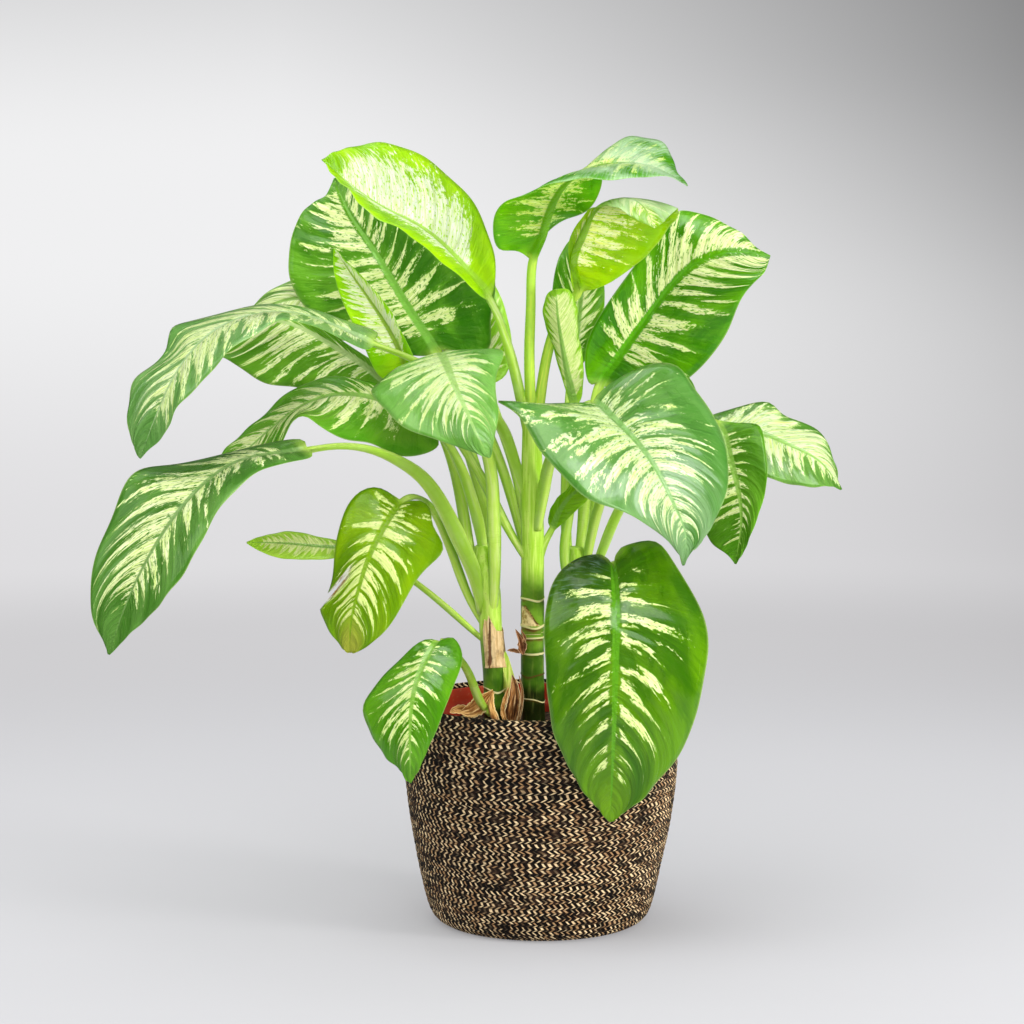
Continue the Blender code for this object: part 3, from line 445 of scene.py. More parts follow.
# %% Leaf table
LEAVES = {
    "leaf_01": dict(
        radii=(9, 4.2), sweep=(0.18, 0.34),
        stalk=[-50,0,272, -56,-8,302, -68,-18,333, -83,-28,365, -100,-40,392, -121,-50,409,
            -144,-58,420, -171,-66,424],
        rib=[-197,-73,421, -222,-85,418, -252,-101,413, -280,-119,395, -305,-137,366, -326,-151,331,
            -343,-159,293, -355,-161,258],
        left=[-193,-81,416, -202,-99,413, -223,-127,411, -247,-155,395, -274,-175,360, -291,-183,326,
            -310,-181,302, -332,-171,280],
        right=[-202,-65,428, -231,-59,425, -269,-63,415, -314,-77,407, -342,-99,401, -356,-119,373,
            -367,-137,342, -371,-149,310, -367,-157,284, -360,-160,269]),
    "leaf_02": dict(
        radii=(6, 4), sweep=(0.14, 0.34),
        stalk=[-11,0,367, -23,2,406, -37,8,439, -63,12,464, -92,8,484, -120,-4,499],
        rib=[-144,-20,509, -168,-28,520, -198,-38,532, -226,-50,536, -255,-64,531, -280,-78,517,
            -303,-92,490, -320,-102,454, -335,-106,415],
        left=[-150,-34,503, -167,-52,511, -191,-72,524, -214,-92,531, -235,-110,519, -262,-122,501,
            -282,-128,479, -297,-128,462, -312,-120,438, -324,-112,425],
        right=[-141,-8,516, -166,2,526, -196,6,536, -235,2,542, -273,-14,534, -301,-30,527,
            -315,-44,520, -317,-58,505, -332,-70,491, -344,-80,478, -346,-90,459, -345,-98,437,
            -340,-103,423]),
    "leaf_03": dict(
        radii=(6, 4), sweep=(0.45, 0.3),
        stalk=[-50,4,290, -60,14,317, -67,26,351, -76,36,395, -91,50,434, -107,58,454],
        rib=[-129,62,464, -156,54,486, -186,44,506, -212,36,521, -237,28,527, -263,22,522, -293,18,503],
        left=[-134,54,457, -164,44,460, -194,32,464, -220,24,469, -241,18,472, -260,14,484, -278,12,495,
            -289,14,500],
        right=[-134,66,478, -159,62,498, -182,58,512, -209,54,528, -235,48,536, -265,38,532, -283,28,518]),
    "leaf_04": dict(
        radii=(6, 4), sweep=(0.22, 0.18),
        stalk=[-49,3,316, -53,0,345, -61,-4,376, -74,2,410],
        rib=[-91,5,432, -118,0,450, -146,-8,461, -176,-14,464, -205,-20,455, -234,-24,434, -260,-24,411,
            -288,-18,388],
        left=[-89,-6,419, -120,-26,411, -147,-42,424, -167,-50,428, -188,-54,438, -203,-54,446,
            -220,-48,429, -237,-42,409, -260,-36,395, -279,-26,387],
        right=[-97,10,442, -119,14,463, -145,14,474, -175,14,479, -208,10,470, -227,6,458, -253,-2,437,
            -275,-8,413, -287,-14,398]),
    "leaf_05": dict(
        radii=(7, 5), sweep=(0.14, 0.6),
        stalk=[-46,6,289, -42,22,314, -48,38,359, -66,56,420],
        rib=[-92,68,498, -107,76,522, -126,86,550, -153,104,593, -172,118,620, -187,136,654],
        left=[-103,72,494, -139,78,501, -176,82,524, -201,84,532, -213,86,540, -224,90,561, -226,92,581,
            -221,100,609, -206,116,631, -194,126,640],
        right=[-80,66,497, -47,72,499, -44,78,524, -40,84,553, -45,92,580, -58,100,605, -86,110,627,
            -122,120,645, -159,130,656]),
    "leaf_06": dict(
        radii=(5, 4.2), sweep=(0.1, 0.22),
        stalk=[-11,2,423, -17,-2,458, -25,-4,493, -33,-5,521],
        rib=[-44,-8,547, -64,-12,571, -86,-14,594, -109,-14,611, -133,-12,623, -160,-8,641, -189,-2,666],
        left=[-53,-20,549, -74,-36,570, -99,-48,590, -124,-52,607, -150,-48,624, -172,-30,646],
        right=[-40,-6,558, -40,4,580, -46,14,601, -59,26,630, -87,36,660, -119,38,677, -150,30,681,
            -172,14,676]),
    "leaf_07": dict(
        radii=(7, 4.5), sweep=(0.36, 0.6),
        stalk=[-43,-3,271, -41,-9,288, -40,-12,320, -41,-16,364, -46,-20,412, -65,-14,457, -80,-5,488],
        rib=[-86,-22,501, -84,-45,498, -78,-75,487, -71,-104,472, -62,-130,455, -53,-147,436,
            -43,-152,419],
        left=[-66,-18,502, -42,-28,504, -32,-44,502, -38,-78,483, -38,-108,464, -37,-132,444,
            -40,-146,431],
        right=[-104,-22,494, -124,-34,487, -139,-52,475, -144,-66,468, -131,-92,455, -116,-112,442,
            -93,-130,434, -66,-146,426]),
    "leaf_08": dict(
        radii=(5, 3.6), sweep=(0.14, 0.14), wave=0.8,
        stalk=[-12,0,318, -28,2,345, -46,10,379, -66,20,413, -90,34,443],
        rib=[-113,44,469, -124,40,499, -137,34,525, -151,30,546, -167,30,569, -181,32,590],
        left=[-124,38,471, -141,32,477, -153,26,500, -164,22,523, -174,22,545, -181,26,569],
        right=[-108,38,481, -113,32,499, -125,26,523, -136,24,542, -153,26,562, -169,28,578]),
    "leaf_09": dict(
        radii=(5, 4.2), sweep=(0.03, 0.03),
        stalk=[-7,-2,415, -9,-6,459, -10,-10,502, -9,-18,543],
        rib=[-7,-30,581, 0,-38,598, 6,-46,618, 16,-50,639, 33,-50,654, 60,-48,661, 92,-52,659,
            123,-60,642],
        left=[3,-26,600, 23,-22,615, 42,-18,625, 52,-6,642, 56,0,661, 70,2,685, 94,0,684, 109,-12,674,
            116,-36,656],
        right=[-21,-36,587, -36,-38,589, -41,-44,607, -36,-56,623, -14,-72,636, 15,-88,644, 48,-94,646,
            82,-88,649, 106,-76,648]),
    "leaf_10": dict(
        radii=(5, 4.2), sweep=(0.06, 0.16),
        stalk=[-5,0,415, 0,4,463, 5,0,495, 13,-8,524, 23,-16,543],
        rib=[32,-26,554, 27,-34,575, 34,-42,598, 44,-54,620, 61,-72,631, 81,-92,627, 93,-104,606],
        left=[47,-30,555, 74,-22,570, 94,-18,587, 109,-20,605, 117,-40,620, 111,-66,620, 102,-90,612],
        right=[26,-34,559, 24,-34,578, 24,-38,597, 33,-50,613, 47,-70,625, 61,-92,623, 77,-104,614]),
    "leaf_11": dict(
        radii=(6, 4.5), sweep=(0.14, 0.42),
        stalk=[33,20,316, 37,26,342, 42,30,404],
        rib=[52,25,470, 63,22,488, 87,16,521, 108,10,550, 129,2,573, 159,-8,586, 197,-18,583],
        left=[42,18,473, 39,14,500, 50,8,529, 69,4,558, 86,6,581, 104,10,604, 119,14,622, 142,16,620,
            168,4,606, 186,-8,591],
        right=[74,26,468, 103,16,465, 130,4,478, 159,-14,515, 175,-24,551, 190,-24,567]),
    "leaf_12": dict(
        radii=(5, 3.8), sweep=(0.14, 0.14), wave=0.8,
        stalk=[31,16,279, 21,4,318, 27,4,371, 32,-4,424],
        rib=[29,-12,455, 23,-20,481, 18,-28,507, 14,-36,533, 13,-40,555],
        left=[22,-14,466, 14,-16,492, 5,-20,520, 2,-28,541, 6,-35,552],
        right=[36,-8,463, 36,-12,494, 32,-18,524, 29,-28,546, 22,-36,555]),
    "leaf_13": dict(
        radii=(6, 4.5), sweep=(0.42, 0.5),
        stalk=[-3,-6,345, 4,-16,390, 10,-24,412, 25,-32,436],
        rib=[42,-40,458, 61,-66,446, 78,-92,429, 94,-114,408, 109,-132,378, 118,-140,353, 116,-140,329],
        left=[50,-34,467, 78,-30,485, 114,-36,490, 129,-52,472, 146,-72,449, 154,-92,426, 155,-110,401,
            149,-124,378, 135,-134,352, 123,-139,340],
        right=[16,-46,457, -18,-62,459, -38,-76,461, -22,-90,452, -4,-112,426, 15,-128,404, 34,-138,386,
            55,-146,377, 84,-150,365, 109,-146,343]),
    "leaf_14": dict(
        radii=(5, 3.8), sweep=(0.26, 0.1),
        stalk=[36,20,288, 44,11,335, 57,8,379, 87,8,419, 121,-8,438],
        rib=[151,-20,439, 161,-34,417, 168,-46,388, 171,-54,359, 166,-56,321],
        left=[172,-22,440, 187,-32,439, 192,-46,418, 193,-56,397, 188,-62,376, 182,-62,355, 174,-60,335],
        right=[139,-20,432, 132,-24,412, 132,-32,387, 136,-42,362, 146,-50,338, 159,-55,329]),
    "leaf_15": dict(
        radii=(5, 4), sweep=(0.42, 0.18),
        stalk=[38,24,282, 55,30,324, 71,36,361, 97,32,397, 123,22,420],
        rib=[145,10,433, 169,2,434, 197,-6,428, 220,-14,418, 241,-20,406, 259,-26,382],
        left=[145,18,442, 177,26,451, 202,26,454, 214,18,443, 240,8,435, 250,-4,421, 255,-18,400],
        right=[149,-2,422, 170,-22,406, 195,-34,393, 218,-40,388, 238,-40,385, 250,-34,386]),
    "leaf_16": dict(
        radii=(7, 4.5), sweep=(0.36, 0.22), groove=1.1, veins=0.074,
        stalk=[33,16,237, 36,-8,275, 44,-44,306, 52,-74,321],
        rib=[59,-95,327, 61,-122,311, 61,-146,285, 60,-160,253, 59,-168,220, 58,-168,184, 57,-162,150,
            56,-156,118],
        left=[64,-92,336, 78,-84,342, 96,-84,343, 109,-96,330, 124,-112,308, 134,-128,286, 137,-140,263,
            134,-148,242, 127,-154,211, 116,-156,178, 97,-156,154, 76,-156,132],
        right=[53,-96,332, 39,-92,333, 24,-98,328, 11,-110,314, 4,-122,294, 2,-132,273, 2,-142,247,
            5,-150,217, 10,-154,192, 19,-157,168, 34,-158,144, 48,-157,126]),
    "leaf_17": dict(
        radii=(4.5, 3), sweep=(0.22, 0.52),
        stalk=[-41,-6,180, -53,-30,199, -61,-55,224, -71,-82,246],
        rib=[-85,-105,262, -97,-122,248, -106,-140,225, -109,-150,198, -109,-152,171, -109,-148,149],
        left=[-75,-104,264, -67,-112,253, -70,-128,235, -80,-142,212, -90,-150,187, -100,-151,165],
        right=[-98,-108,263, -119,-112,248, -135,-118,230, -148,-124,210, -146,-132,193, -135,-140,177,
            -121,-146,162]),
    "leaf_18": dict(
        radii=(4.6, 3.5), sweep=(0.3, 0.42), tear=(-1.0, 0.43, 0.55),
        stalk=[-46,2,255, -62,12,282, -75,18,315, -90,4,355, -104,-26,376],
        rib=[-118,-55,375, -132,-74,357, -145,-88,332, -154,-97,304, -160,-98,278, -162,-94,250],
        left=[-105,-54,375, -95,-58,369, -92,-68,355, -83,-76,337, -94,-84,323, -108,-92,307,
            -123,-98,281, -140,-99,261, -155,-96,251],
        right=[-126,-53,380, -138,-52,386, -152,-56,384, -163,-62,374, -170,-70,358, -176,-80,327,
            -183,-86,295, -187,-88,287, -178,-92,268, -168,-94,253]),
    "leaf_19": dict(
        radii=(3.5, 2.2), sweep=(0.12, 0.12), wave=0.5,
        stalk=[-44,2,242, -62,-6,259, -81,-12,277, -108,-18,300, -135,-26,319],
        rib=[-163,-32,331, -190,-36,334, -220,-40,337, -253,-42,338],
        left=[-169,-40,326, -191,-48,324, -219,-52,325, -239,-48,330],
        right=[-169,-28,336, -193,-26,342, -219,-28,346, -240,-36,343]),
    "leaf_20": dict(
        radii=(4, 3),
        stalk=[-4,2,309, 4,2,334],
        rib=[10,0,346, 18,-10,365, 32,-18,381, 51,-22,392],
        left=[6,2,355, 12,-6,369, 20,-10,380, 34,-14,390],
        right=[22,-10,354, 36,-22,369, 47,-24,382]),
    "leaf_21": dict(
        radii=(5, 4),
        stalk=[30,24,285, 24,38,328, 23,46,394],
        rib=[28,50,481, 32,56,513, 36,62,544, 41,68,575, 52,74,605],
        left=[19,48,487, 10,52,513, 10,58,544, 14,64,573, 25,72,596, 38,74,604],
        right=[39,46,490, 51,50,513, 57,54,537, 57,62,562, 56,70,589]),
    "leaf_22": dict(
        radii=(5, 4),
        stalk=[-10,10,330, -20,34,386, -34,54,429],
        rib=[-47,72,468, -50,92,490, -56,108,516, -63,122,543, -74,134,571],
        left=[-65,80,472, -79,102,503, -89,120,534, -85,132,558],
        right=[-31,74,477, -25,92,503, -29,106,527, -36,120,548, -52,132,566]),
    "leaf_23": dict(
        radii=(5, 4),
        stalk=[-8,10,300, -25,40,368, -52,66,437, -90,96,490],
        rib=[-127,116,521, -168,122,539, -202,126,545, -232,124,543, -259,118,530, -279,108,509],
        left=[-138,108,503, -176,106,507, -217,104,509, -251,100,509, -267,100,504],
        right=[-132,128,536, -164,136,557, -196,138,569, -224,134,562, -246,128,551, -265,118,534,
            -274,112,520]),
    "leaf_24": dict(
        radii=(5, 4),
        stalk=[33,26,287, 38,44,322, 47,62,370, 63,76,428],
        rib=[82,92,461, 99,112,469, 116,134,463, 131,154,443, 139,168,416],
        left=[87,94,475, 111,112,485, 138,134,472, 147,154,447, 145,164,428],
        right=[78,98,450, 85,124,445, 98,146,432, 113,160,421, 127,166,415]),
}
print("leaves in the table:", len(LEAVES))

# %% [markdown]
# ## Leaves
# A dieffenbachia leaf is a fleshy stalk that flattens into a thick blade. Side veins leave the midrib
# at a steep angle and sweep forward, and the blade is pressed in a little along each of them. It
# could be a flat picture of a leaf, bent; here it is one closed skin, so it has a real rib, a real
# edge and a real underside, and each row of its grid runs along a side vein. The finish then
# follows the veins by reading how far out along its vein a point lies.

# %% Leaf surface
STALK_RINGS = 30
ROW_STEP = 2.35           # mm between the rows of a blade
ROWS_LEAST, ROWS_MOST = 40, 112
COLUMNS = 33              # points across one face
RING = 2 * COLUMNS        # points round both faces
COLUMN = np.linspace(-1.0, 1.0, COLUMNS)
COLUMN = np.sign(COLUMN) * np.abs(COLUMN) ** 1.6   # close together at the rib, wide at the margin
SHARE = np.abs(COLUMN)
ON_LEFT = COLUMN >= 0.0
BLADE_THICK = 0.62
BOW = 0.05                # how far a half blade arches, as a share of its width
FOLD_SWEEP = 0.31         # side veins that run further forward than this would cross
VEIN_SWEEP = (0.27, 0.27)
VEIN_SHARE = 0.066        # distance between side veins, as a share of the blade's length


def leaf_lines(row):
    """Centre line, rib, both margins and the sideways arrow at the blade's base."""
    stalk, rib, left, right = (
        np.asarray(row[key], float).reshape(-1, 3) for key in ("stalk", "rib", "left", "right"))
    axis = smooth_curve(np.vstack([stalk, rib]))
    base = CURVE_SAMPLES * len(stalk)
    side = square_to(left[1] - right[1], axis[base + 6] - axis[base - 6])
    tip_side = square_to(left[-1] - right[-1], axis[-1] - axis[-8])
    start = side * row["radii"][1]
    left = smooth_curve(np.vstack([rib[0] + start, left, rib[-1] + tip_side * 0.8]))
    right = smooth_curve(np.vstack([rib[0] - start, right, rib[-1] - tip_side * 0.8]))
    return axis[:base + 1], axis[base:], left, right, side


def draw_in(sheet, side, at, depth):
    """A slit along one side vein: column c of three rows takes the point of column (1 - cut) c."""
    middle = round(at * (len(sheet) - 1))
    for i, cut in ((middle - 1, 0.3 * depth), (middle, depth), (middle + 1, 0.45 * depth)):
        from_column = np.where(np.sign(COLUMN) == side, (1.0 - cut) * COLUMN, COLUMN)
        sheet[i] = np.stack([np.interp(from_column, COLUMN, sheet[i, :, k]) for k in range(3)], axis=-1)


def blade_rings(row, lines, rng):
    """Upper and lower faces of a blade, and the pattern coordinates of its points.

    A row of points is a side vein: it leaves the rib at share V of the length and meets the margin
    further on, at V + sweep * sin(pi V) * w, where w = |s| ^ 1.2 and s runs from -1 to 1 across the
    blade. A sweep above FOLD_SWEEP would fold the rows over each other, so its w is eased off.
    A point lies on the straight line from rib to margin, raised by the arch 4 |s| (1 - |s|), sunk
    along the veins and waved at the margin.
    """
    _, rib_line, left_line, right_line, _ = lines
    length = run_of(rib_line)[-1]
    rows = int(np.clip(length / ROW_STEP, ROWS_LEAST, ROWS_MOST))
    v = np.linspace(0.0, 1.0, rows)[:, None]
    sweep = np.where(ON_LEFT, *row.get("sweep", VEIN_SWEEP))
    ease = np.maximum(sweep / FOLD_SWEEP - 1.0, 0.0)
    t = v + sweep * np.sin(np.pi * v) * SHARE ** 1.2 / (1.0 + ease * SHARE ** 1.2)
    rib = along(rib_line, t)
    margin = np.where(ON_LEFT[None, :, None], along(left_line, t), along(right_line, t))
    half = np.linalg.norm(margin - rib, axis=-1)
    sheet = rib + (margin - rib) * SHARE[None, :, None]
    sheet += normals(sheet) * (BOW * half * 4.0 * SHARE * (1.0 - SHARE))[..., None]
    spacing = row.get("veins", VEIN_SHARE) * length
    slow, quick = rng.uniform(0.0, 6.0), rng.uniform(0.0, 6.0)
    wander = 1.6 * np.sin(v * length / 21.0 + slow) + 1.1 * np.sin(v * length / 9.3 + quick)
    vein = v ** 0.88 * length + wander + np.where(ON_LEFT, 0.0, 0.47 * spacing)
    groove = (1.0 - np.abs(np.sin(np.pi * vein / spacing))) ** 2
    calm = np.clip(SHARE * half / 9.0, 0.0, 1.0) * (1.0 - SHARE ** 3) * np.clip(12.0 * v, 0.0, 1.0)
    lift = -row.get("groove", 0.8) * groove * calm
    turns = rng.uniform(2.2, 3.8, 2)[ON_LEFT.astype(int)]
    phase = rng.uniform(0.0, 6.28, 2)[ON_LEFT.astype(int)]
    wave = np.sin(2.0 * np.pi * turns * v + phase) + 0.5 * np.sin(4.7 * np.pi * turns * v + 2.0 * phase)
    lift = lift + row.get("wave", 1.6) * SHARE ** 2.5 * wave * np.sin(np.pi * v) ** 0.5
    sheet += normals(sheet) * lift[..., None]
    face = normals(sheet)
    rib_radius = row["radii"][1] * (1.0 - v) ** 1.1 + 0.3
    off = SHARE * half
    round_rib = np.sqrt(np.clip(1.0 - (off / rib_radius) ** 2, 0.0, 1.0))
    thick = 0.5 * BLADE_THICK * (1.0 - 0.7 * SHARE ** 6)
    upper = sheet + face * (thick - 0.25 * rib_radius * np.exp(-(off / rib_radius) ** 2))[..., None]
    lower = sheet - face * (thick + 0.9 * rib_radius * round_rib)[..., None]
    place = np.stack([off * np.sign(COLUMN), vein + 0.0 * off, SHARE + 0.0 * off], axis=-1)
    form = np.stack([v + 0.0 * off, np.ones_like(off), off / rib_radius], axis=-1)
    if "tear" in row:
        for grid in (upper, lower, place, form):
            draw_in(grid, *row["tear"])
    return upper, lower, place, form


def stalk_rings(row, lines):
    """Rings of a stalk: round at the cane, with a flat channelled top where the blade begins."""
    stalk_line, _, _, _, side = lines
    start, end = row["radii"]
    u = np.linspace(0.0, 1.0, STALK_RINGS + 1)[:-1]
    middle = along(stalk_line, u)
    ahead = along(stalk_line, np.minimum(u + 0.02, 1.0)) - along(stalk_line, np.maximum(u - 0.02, 0.0))
    radius = (end + (start - end) * (1.0 - u) ** 1.3) * np.interp(u, (0.0, 0.3), (0.6, 1.0))
    side = square_to(np.broadcast_to(side, ahead.shape), ahead)
    top = np.cross(arrow(ahead), side)
    angle = np.pi * (1.0 - (np.arange(COLUMNS) + 0.5) / COLUMNS)
    flat = smooth_step((u - 0.55) / 0.45)[:, None]
    x = (1.0 - flat) * np.cos(angle) + flat * COLUMN
    rise = np.sqrt(np.clip(1.0 - x ** 2, 0.0, 1.0))
    up = (1.0 - flat) * rise + flat * (0.06 - 0.25 * np.exp(-x ** 2))
    down = -rise * (1.0 - 0.1 * flat) - 0.03
    spread = radius[:, None, None] * x[..., None] * side[:, None]
    upper, lower = (middle[:, None] + spread + radius[:, None, None] * rises[..., None] * top[:, None]
                    for rises in (up, down))
    length = run_of(stalk_line)[-1]
    place = np.stack([radius[:, None] * x, (u[:, None] - 1.0) * length + 0.0 * x, np.abs(x)], axis=-1)
    form = np.stack([u[:, None] - 1.0 + 0.0 * x, np.ones_like(x), np.abs(x)], axis=-1)
    return upper, lower, place, form


def bake_map(leaf, rows):
    """A map without overlaps: the upper face fills its left half and the underside the right one."""
    across = np.interp(np.arange(COLUMNS), (0, COLUMNS - 1), (0.01, 0.485))
    corner = np.r_[across, across[::-1] + 0.5, 0.0]
    i, j = np.meshgrid(np.arange(rows - 1), np.arange(RING), indexing="ij")
    u = np.stack([corner[j], corner[j + 1], corner[j + 1], corner[j]], axis=-1)
    u[:, COLUMNS - 1] = (0.489, 0.494, 0.494, 0.489)
    u[:, RING - 1] = (0.989, 0.994, 0.994, 0.989)
    v = 0.006 + 0.988 * np.stack([i, i, i + 1, i + 1], axis=-1) / (rows - 1)
    cap_u = np.stack([across[:-1], across[1:], across[1:], across[:-1]], axis=1)
    cap_v = np.broadcast_to((0.001, 0.001, 0.004, 0.004), (COLUMNS - 1, 4))
    u = np.concatenate([u.reshape(-1, 4)[:, ::-1], cap_u, cap_u[:, ::-1]])
    v = np.concatenate([v.reshape(-1, 4)[:, ::-1], cap_v, 1.0 - cap_v])
    keep_map(leaf, "OFBake", u, v)


def make_leaf(name, row, material):
    """One closed skin: stalk rings then blade rings, each the upper points and the lower ones back."""
    rng = np.random.default_rng(int(name[-2:]) + 40)
    lines = leaf_lines(row)
    upper, lower, place, form = (np.concatenate(pair) for pair in zip(
        stalk_rings(row, lines), blade_rings(row, lines, rng)))
    rows = len(upper)
    ring = np.concatenate([upper, lower[:, ::-1]], axis=1)
    under = form * np.array([1.0, 0.0, 1.0])
    first = np.arange(COLUMNS - 1)
    cap = np.stack([first, first + 1, RING - 2 - first, RING - 1 - first], axis=1)
    faces = [ring_faces(rows, RING)[:, ::-1], cap, (cap + (rows - 1) * RING)[:, ::-1]]
    leaf = make_mesh(name + "_grown", ring, faces, material)
    keep_points(leaf, "leaf_place", np.concatenate([place, place[:, ::-1]], axis=1))
    keep_points(leaf, "leaf_form", np.concatenate([form, under[:, ::-1]], axis=1))
    bake_map(leaf, rows)
    return leaf

# %% [markdown]
# ## Leaf finish
# The cream colour of this plant begins at the midrib and runs out between the side veins, further
# between some than between others, with torn edges and loose flecks. So the finish asks one question:
# how far out does the cream reach at this vein? A slow noise along the rib answers it, a fine one
# tears its edge, and a smooth step turns the difference into cream or green. The blade also
# lets light through, so a leaf with light behind it glows yellow-green.

# %% What is usual for a leaf
# Dark and mid are the two greens of a blade, cream and pale the two creams; rib, stalk and under are
# the tones of the midrib, stalk and underside, and edge is a painted highlight along the margin.
# Reach is the share of the half width where cream ends on average, vary is how much that changes
# from vein to vein, lean adds to it on the left, fall takes off it towards the tip and cap is the most
# it can be. Cream lies between the shares foot and tip of the length, and outside a green strip of
# inner mm by the rib. Band ties it to the side veins, streak is the length of its patches in mm, and
# tear and flecks break its edge up. Pale_under is how far the underside turns to its tone, and
# tip_tone how far the tip turns to tip_tint. The deep shade number darkens the foot of the right half
# with painted shade, and the right margin is torn at the share torn_at. Through is the share of light
# that comes through with the colour glow. Rough is the roughness, coat the gloss on top and the
# painted sheen number how strongly painted sheen pales patches of the upper face towards the tip.
LEAF_USUAL = dict(dark=(60, 120, 20), mid=(112, 166, 56), cream=(240, 247, 180), pale=(214, 234, 132),
    rib=(140, 190, 80), edge=(186, 214, 120), stalk=(200, 232, 92), under=(150, 196, 90), reach=0.42,
    vary=0.5, lean=0.0, tear=0.2, streak=7.0, flecks=0.6, tip=0.84, foot=0.06, inner=0.0, band=0.72,
    cap=0.92, fall=0.12, pale_under=0.3, deep_shade=0.0, tip_tone=0.0, tip_tint=(196, 190, 70),
    glow=(150, 220, 20), through=0.22, rough=0.28, coat=0.3, painted_sheen=0.0, torn_at=0.0)


def leaf_finish(name, seed, spacing, **own):
    """Cream where reach + band cos(2 pi vein / spacing) + tear - |s| is above zero, green elsewhere.

    Vein is how far along the rib a point's side vein starts and spacing is the distance between side
    veins, both in mm. Rib, a painted highlight along the edge, underside and stalk come on top.
    """
    look = {**LEAF_USUAL, **own}
    tone = {key: srgb(*value) for key, value in look.items() if isinstance(value, tuple)}
    f = Finish(name)
    out, vein, share = f.parts("leaf_place")
    t, face, rib_share = f.parts("leaf_form")
    blade = f.step(t, -0.02, 0.05)

    def patches(out_size, vein_size, apart, detail, rough):
        """Chance patches of these sizes in mm, out from the rib and along it."""
        return f.noise(f.point(out / out_size, vein / vein_size, seed * apart), 1.0, detail, rough)

    slow = patches(42.0, look["streak"], 7.3, 1.5, 0.55) - 0.5
    fine = patches(5.6, 2.2, 3.1, 5.0, 0.74) - 0.5
    begins = f.step(t, look["foot"] - 0.06, look["foot"] + 0.08)
    ends = begins * (1.0 - f.step(t, look["tip"] - 0.05, look["tip"] + 0.13))
    on_left = f.math("SIGN", out)
    reach = on_left * look["lean"] + (slow * (look["vary"] * 3.6) + look["reach"])
    strayed = fine * (0.9 * spacing) + (slow * (2.0 * spacing) + vein)
    stripe = f.math("COSINE", strayed * (2.0 * np.pi / spacing) + np.pi)
    reach = stripe * (look["band"] * look["vary"]) + reach
    reach = f.math("MINIMUM", reach, look["cap"]) - f.step(t, 0.35, 0.95) * look["fall"]
    reach = reach + (ends * 1.2 - 1.2)
    inside = fine * (look["tear"] * 5.0) + reach - share
    cream = f.step(inside, -0.022, 0.03)
    if look["inner"]:
        ragged_out = fine * 9.0 + abs(out)
        cream = cream * f.step(ragged_out, look["inner"] - 0.6, look["inner"] + 0.8)
    specks = patches(3.4, 1.5, 5.7, 2.0, 0.5)
    loose = f.step(specks, 0.64, 0.69) * f.step(inside, -0.34, -0.05)
    cream = f.math("MAXIMUM", cream, loose * look["flecks"])
    green_specks = f.step(specks, 0.42, 0.37) * look["flecks"]
    cream = cream * (1.0 - green_specks)

    clouds = patches(26.0, 34.0, 1.9, 3.0, 0.5)
    veinlets = patches(14.0, 1.3, 1.0, 2.0, 0.5)
    green_share = f.step(clouds, 0.36, 0.66) * 0.75 + veinlets * 0.3
    green_share = f.math("MULTIPLY", green_share, 0.9, clamp=True)
    green = f.blend(green_share, tone["dark"], tone["mid"])
    near_cream = f.step(inside, -0.2, -0.01) * 0.5
    green = f.blend(near_cream, green, tone["mid"])
    # Darker green along the sunk side veins near the rib: painted shade in the grooves.
    vein_groove_shade = f.step(stripe, -0.75, -1.0) * f.step(share, 0.0, 0.3)
    green = f.blend(vein_groove_shade * 0.35, green, tone["dark"])
    # The foot of the right half: painted shade, with streaks of painted sheen on it.
    if look["deep_shade"]:
        lobe = f.step(t, 0.3, 0.02) * f.step(share * on_left, 0.0, -0.6)
        green = f.blend(lobe * look["deep_shade"], green, srgb(12, 40, 12))
        painted_lobe_sheen = f.step(veinlets, 0.5, 0.72) * (lobe * 0.45)
        green = f.blend(painted_lobe_sheen, green, srgb(150, 184, 168))
    yellow = f.blend(f.step(veinlets, 0.3, 0.72), tone["cream"], tone["pale"])
    yellow = f.blend(f.step(inside, 0.14, 0.0) * 0.55, yellow, tone["pale"])
    colour = f.blend(cream, green, yellow)
    if look["tip_tone"]:
        colour = f.blend(f.step(t, 0.7, 0.92) * look["tip_tone"], colour, tone["tip_tint"])
    if look["torn_at"]:
        beside_tear = f.step(abs(t - look["torn_at"]), 0.04, 0.022)
        dried = beside_tear * f.step(share * on_left, -0.3, -0.5)
        dry_rim = f.blend(f.step(fine, -0.06, 0.06), srgb(150, 112, 60), srgb(246, 244, 228))
        colour = f.blend(dried, colour, dry_rim)
    # A pale line along the margin: painted highlight.
    colour = f.blend(f.step(share, 0.975, 0.998) * 0.4, colour, tone["edge"])
    rib = f.step(rib_share, 1.25, 0.8) * (1.0 - f.step(t, 0.86, 1.0))
    colour = f.blend(rib * 0.9, colour, tone["rib"])
    under = (1.0 - face) * look["pale_under"]
    colour = f.blend(under, colour, tone["under"])
    # Pale patches on the upper face towards the tip: painted sheen.
    if look["painted_sheen"]:
        sheen_patch_share = f.step(veinlets * 0.3 + clouds * 0.7, 0.36, 0.6)
        sheen_patch_share = sheen_patch_share * f.step(t, 0.3, 0.7)
        colour = f.blend(face * (sheen_patch_share * look["painted_sheen"]), colour, srgb(222, 240, 216))
    grain = patches(1.6, 26.0, 1.0, 2.0, 0.5)
    stalk = f.blend(f.step(grain, 0.4, 0.7), tone["stalk"], tone["pale"])
    # Darker green towards the stalk's flanks: painted shade.
    stalk = f.blend(f.step(share, 0.4, 1.0) * 0.55, stalk, srgb(110, 166, 14))
    colour = f.blend(blade, stalk, colour)

